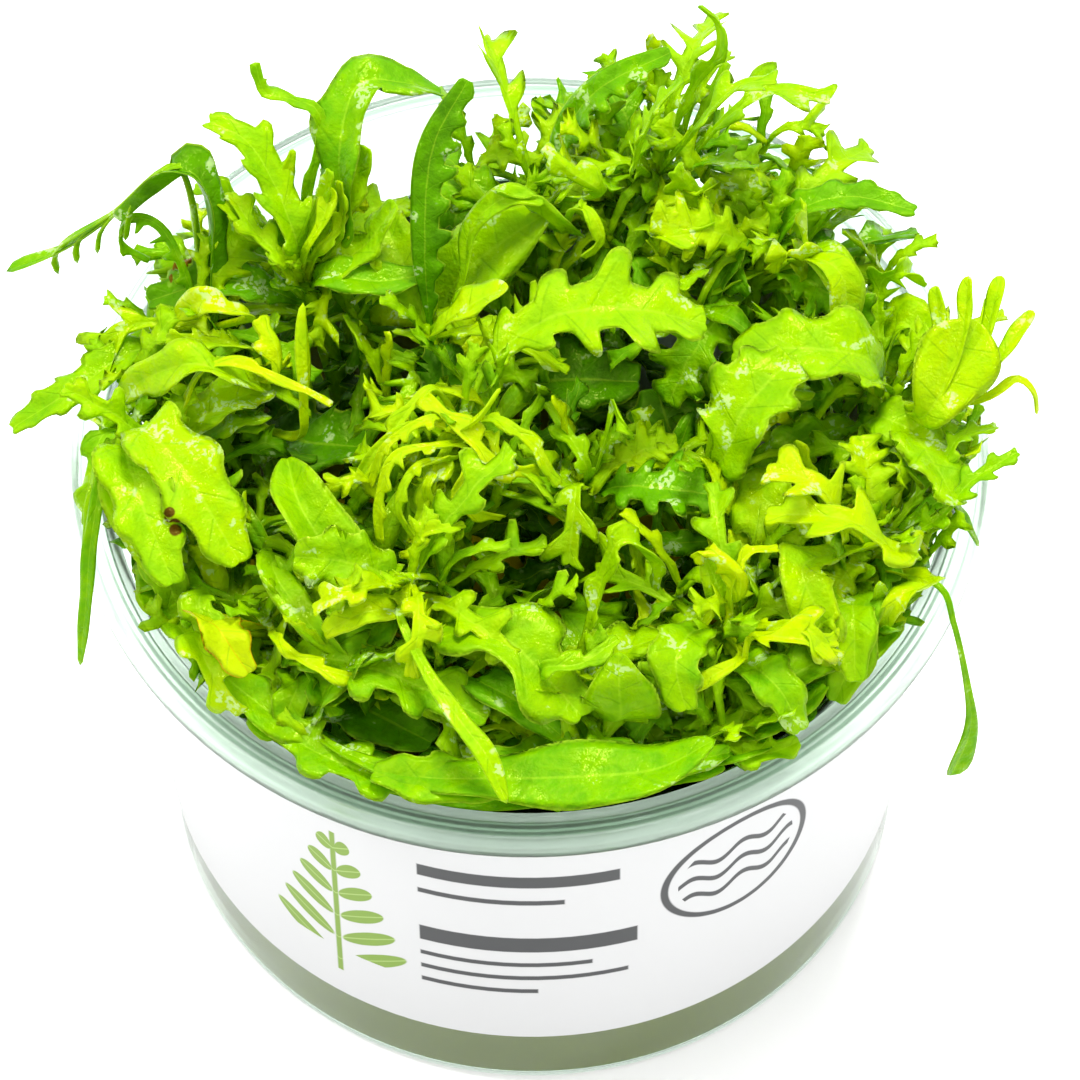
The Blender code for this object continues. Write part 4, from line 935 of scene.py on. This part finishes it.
SMALL_MESH, CROWN_MESH = (11, 0.9, 3), (20, 0.9, 5)
NARROW = (0.9, 1.6)  # half widths of the ribbons and plain blades of the twigs

# Kinds of small leaves: their forms, mesh and ruffle, then the ranges of the rise, the droop, the
# length, half the width, the fold, the twist and the tone. Each further leaf down the stem rises
# less, is longer and is darker, by the last three values.
Kind = namedtuple("Kind", "forms mesh ruffle rise droop length half_width fold twist tone lower")
CROWN = Kind(
    CROWN_FORMS, CROWN_MESH, 0.22, (50, 70), (50, 110), (12, 19), (2.6, 4.8), (0.1, 0.5), (-50, 50),
    (0.5, 0.82), (5, 0.3, 0.04))
OLD = Kind(
    CROWN_FORMS, SMALL_MESH, RUFFLE, (15, 50), (20, 70), (12, 17), (2.5, 4.0), (0.1, 0.4), (-40, 40),
    (0.0, 0.35), (0, 0, 0))
RIM = Kind(
    CROWN_FORMS, CROWN_MESH, 0.22, (30, 55), (40, 90), (13, 18), (3, 4.2), (0.1, 0.4), (-30, 30),
    (0.35, 0.65), (0, 0, 0))
TWIG = Kind(
    SMALL_FORMS, SMALL_MESH, 0.3, (66, 90), (10, 160), (7, 12), (1.8, 3.2), (0.1, 0.5), (-60, 60),
    (0.52, 0.9), (18, 0.7, 0.11))


def polar(radius, angle):
    """Offset of a length in the XY plane, at an angle in degrees from +X."""
    return Vector((radius * math.cos(math.radians(angle)), radius * math.sin(math.radians(angle)), 0))


def add_stem(bm, centres, radii, sides, tone, layer):
    """Closed round stem through a row of centres."""
    made = bmesh.ops.create_circle(
        bm, cap_ends=True, segments=sides, radius=radii[0], matrix=Matrix.Translation(centres[0]))
    top = made["verts"][0].link_faces[0]
    stem = list(made["verts"])
    for below, above, old_radius, new_radius in zip(centres, centres[1:], radii, radii[1:]):
        started = len(top.verts[0].link_faces) > 1
        grown = bmesh.ops.extrude_face_region(bm, geom=[top])["geom"]
        if started:
            bmesh.ops.delete(bm, geom=[top], context="FACES_ONLY")
        corners = [item for item in grown if isinstance(item, bmesh.types.BMVert)]
        top = next(item for item in grown if isinstance(item, bmesh.types.BMFace))
        bmesh.ops.translate(bm, vec=above - below, verts=corners)
        bmesh.ops.scale(
            bm, vec=(new_radius / old_radius,) * 3, space=Matrix.Translation(-above), verts=corners)
        stem += corners
    for vert in stem:
        vert[layer] = (0.5, 0.25, tone)


def within_cup(point):
    """The point, moved inwards where the cup's wall stands in its way."""
    above_rim = max(point.z - CUP_HEIGHT, 0)
    room = LEDGE_ROOM + above_rim * RIM_SLOPE if point.z > LEDGE_HEIGHT + 3 else CUP_ROOM
    flat = point.to_2d()
    if flat.length > room:
        flat = flat.normalized() * room
    return Vector((*flat, point.z))


def press_to_wall(bm):
    """Bend the leaf tips that would pass through the cup's wall, so that they lie against it."""
    for vert in bm.verts:
        room = WALL_ROOM if vert.co.z < LEDGE_HEIGHT + 1 else STEP_ROOM
        past = vert.co.xy.length - room
        if past > 0 and vert.co.z < CUP_HEIGHT:
            vert.co.xy *= (room + PRESSED * past) / (room + past)


def arched(root, angle, rise, droop, length):
    """Points of a midrib that leaves its stem at an angle, rises, and then arches over."""
    points = [root]
    for step in range(3):
        slope = math.radians(rise - droop * (step + 0.5) / 3)
        ahead = polar(math.cos(slope), angle) + UP * math.sin(slope)
        points.append(within_cup(points[-1] + ahead * length / 3))
    return points


def grow(bm, layer, draw, kind, root, angle, order=0):
    """Add a leaf of a kind, which grows from a root at an angle, as the order-th down its stem."""
    less_rise, more_length, less_tone = kind.lower
    rise = draw.uniform(*kind.rise) - less_rise * order
    droop = draw.uniform(*kind.droop)
    length = draw.uniform(*kind.length) + more_length * order
    form = draw.choice(kind.forms)
    half_width = draw.uniform(*(NARROW if form in (RIBBON, PLAIN) else kind.half_width))
    small = Blade(
        arched(root, angle, rise, droop, length), form, half_width, draw.random(),
        fold=draw.uniform(*kind.fold), twist=draw.uniform(*kind.twist), ruffle=kind.ruffle)
    small.add(bm, layer, draw.uniform(*kind.tone) - less_tone * order, *kind.mesh)


for name, shoot in SHOOTS.items():
    draw = random.Random("plantlet " + name)
    mesh = bmesh.new()
    layer = mesh.verts.layers.float_vector.new("leaf_map")
    top = shoot.tip[2]
    steps = len(STEM_RADII) - 1
    heights = [ROOTED_HEIGHT + (top - ROOTED_HEIGHT) * step / steps for step in range(steps + 1)]
    add_stem(mesh, [stem_point(shoot, z) for z in heights], STEM_RADII, STEM_SIDES, STEM_TONE, layer)
    for order, (below_tip, rise, length, half_width) in enumerate(YOUNG_PAIRS):
        for side in range(order % 2, 4, 2):
            root = stem_point(shoot, top - below_tip)
            points = arched(root, shoot.turn + 45 + 90 * side, rise, YOUNG_DROOP, length)
            young = Blade(points, draw.choice(SMALL_FORMS), half_width, draw.random(), fold=YOUNG_FOLD)
            young.add(mesh, layer, draw.uniform(*YOUNG_TONE), *SMALL_MESH)
    for kind, count, places in ((CROWN, shoot.crown, CROWN_PLACES), (OLD, OLD_LEAVES, OLD_PLACES)):
        below_tip, pitch, first_turn = places
        for order in range(count):
            root = stem_point(shoot, top - below_tip - pitch * order)
            grow(mesh, layer, draw, kind, root, shoot.turn + first_turn + GOLDEN_ANGLE * order, order)
    if Vector(shoot.tip[:2]).length > RIM_ROOM:
        outwards = math.degrees(math.atan2(shoot.tip[1], shoot.tip[0]))
        for order in range(RIM_LEAVES):
            root = stem_point(shoot, top - draw.uniform(*RIM_DEPTHS))
            grow(mesh, layer, draw, RIM, root, outwards + (order / (RIM_LEAVES - 1) - 0.5) * RIM_FAN)
    for order in range(shoot.twigs):
        angle = shoot.turn + GOLDEN_ANGLE * order
        spread = TWIG_SPREAD[0] + TWIG_SPREAD[1] * order
        foot = stem_point(shoot, top - draw.uniform(*TWIG_FEET))
        least, slope, most = TWIG_DIP
        below = least + slope * spread + draw.uniform(0, most)
        tip = within_cup(Vector(shoot.tip) + polar(spread, angle) - UP * below)
        bend = foot.lerp(tip, TWIG_BEND[0]) + polar(TWIG_BEND[1], angle)
        steps = len(TWIG_RADII) - 1
        centres = [curve_point([foot, bend, tip], step / steps) for step in range(steps + 1)]
        add_stem(mesh, centres, TWIG_RADII, TWIG_SIDES, TWIG_TONE, layer)
        for pair in range(TWIG_PAIRS):
            root = curve_point([foot, bend, tip], 1 - PAIR_PITCH * pair)
            for way in (0, 180):
                stray = draw.uniform(-PAIR_STRAY, PAIR_STRAY)
                grow(mesh, layer, draw, TWIG, root, angle + 90 * pair + way + stray, pair)
    press_to_wall(mesh)
    plantlet = in_metres("plantlet_" + name, mesh, leaf_finish)
    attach(plantlet, "root")
    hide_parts("shoot_" + name)
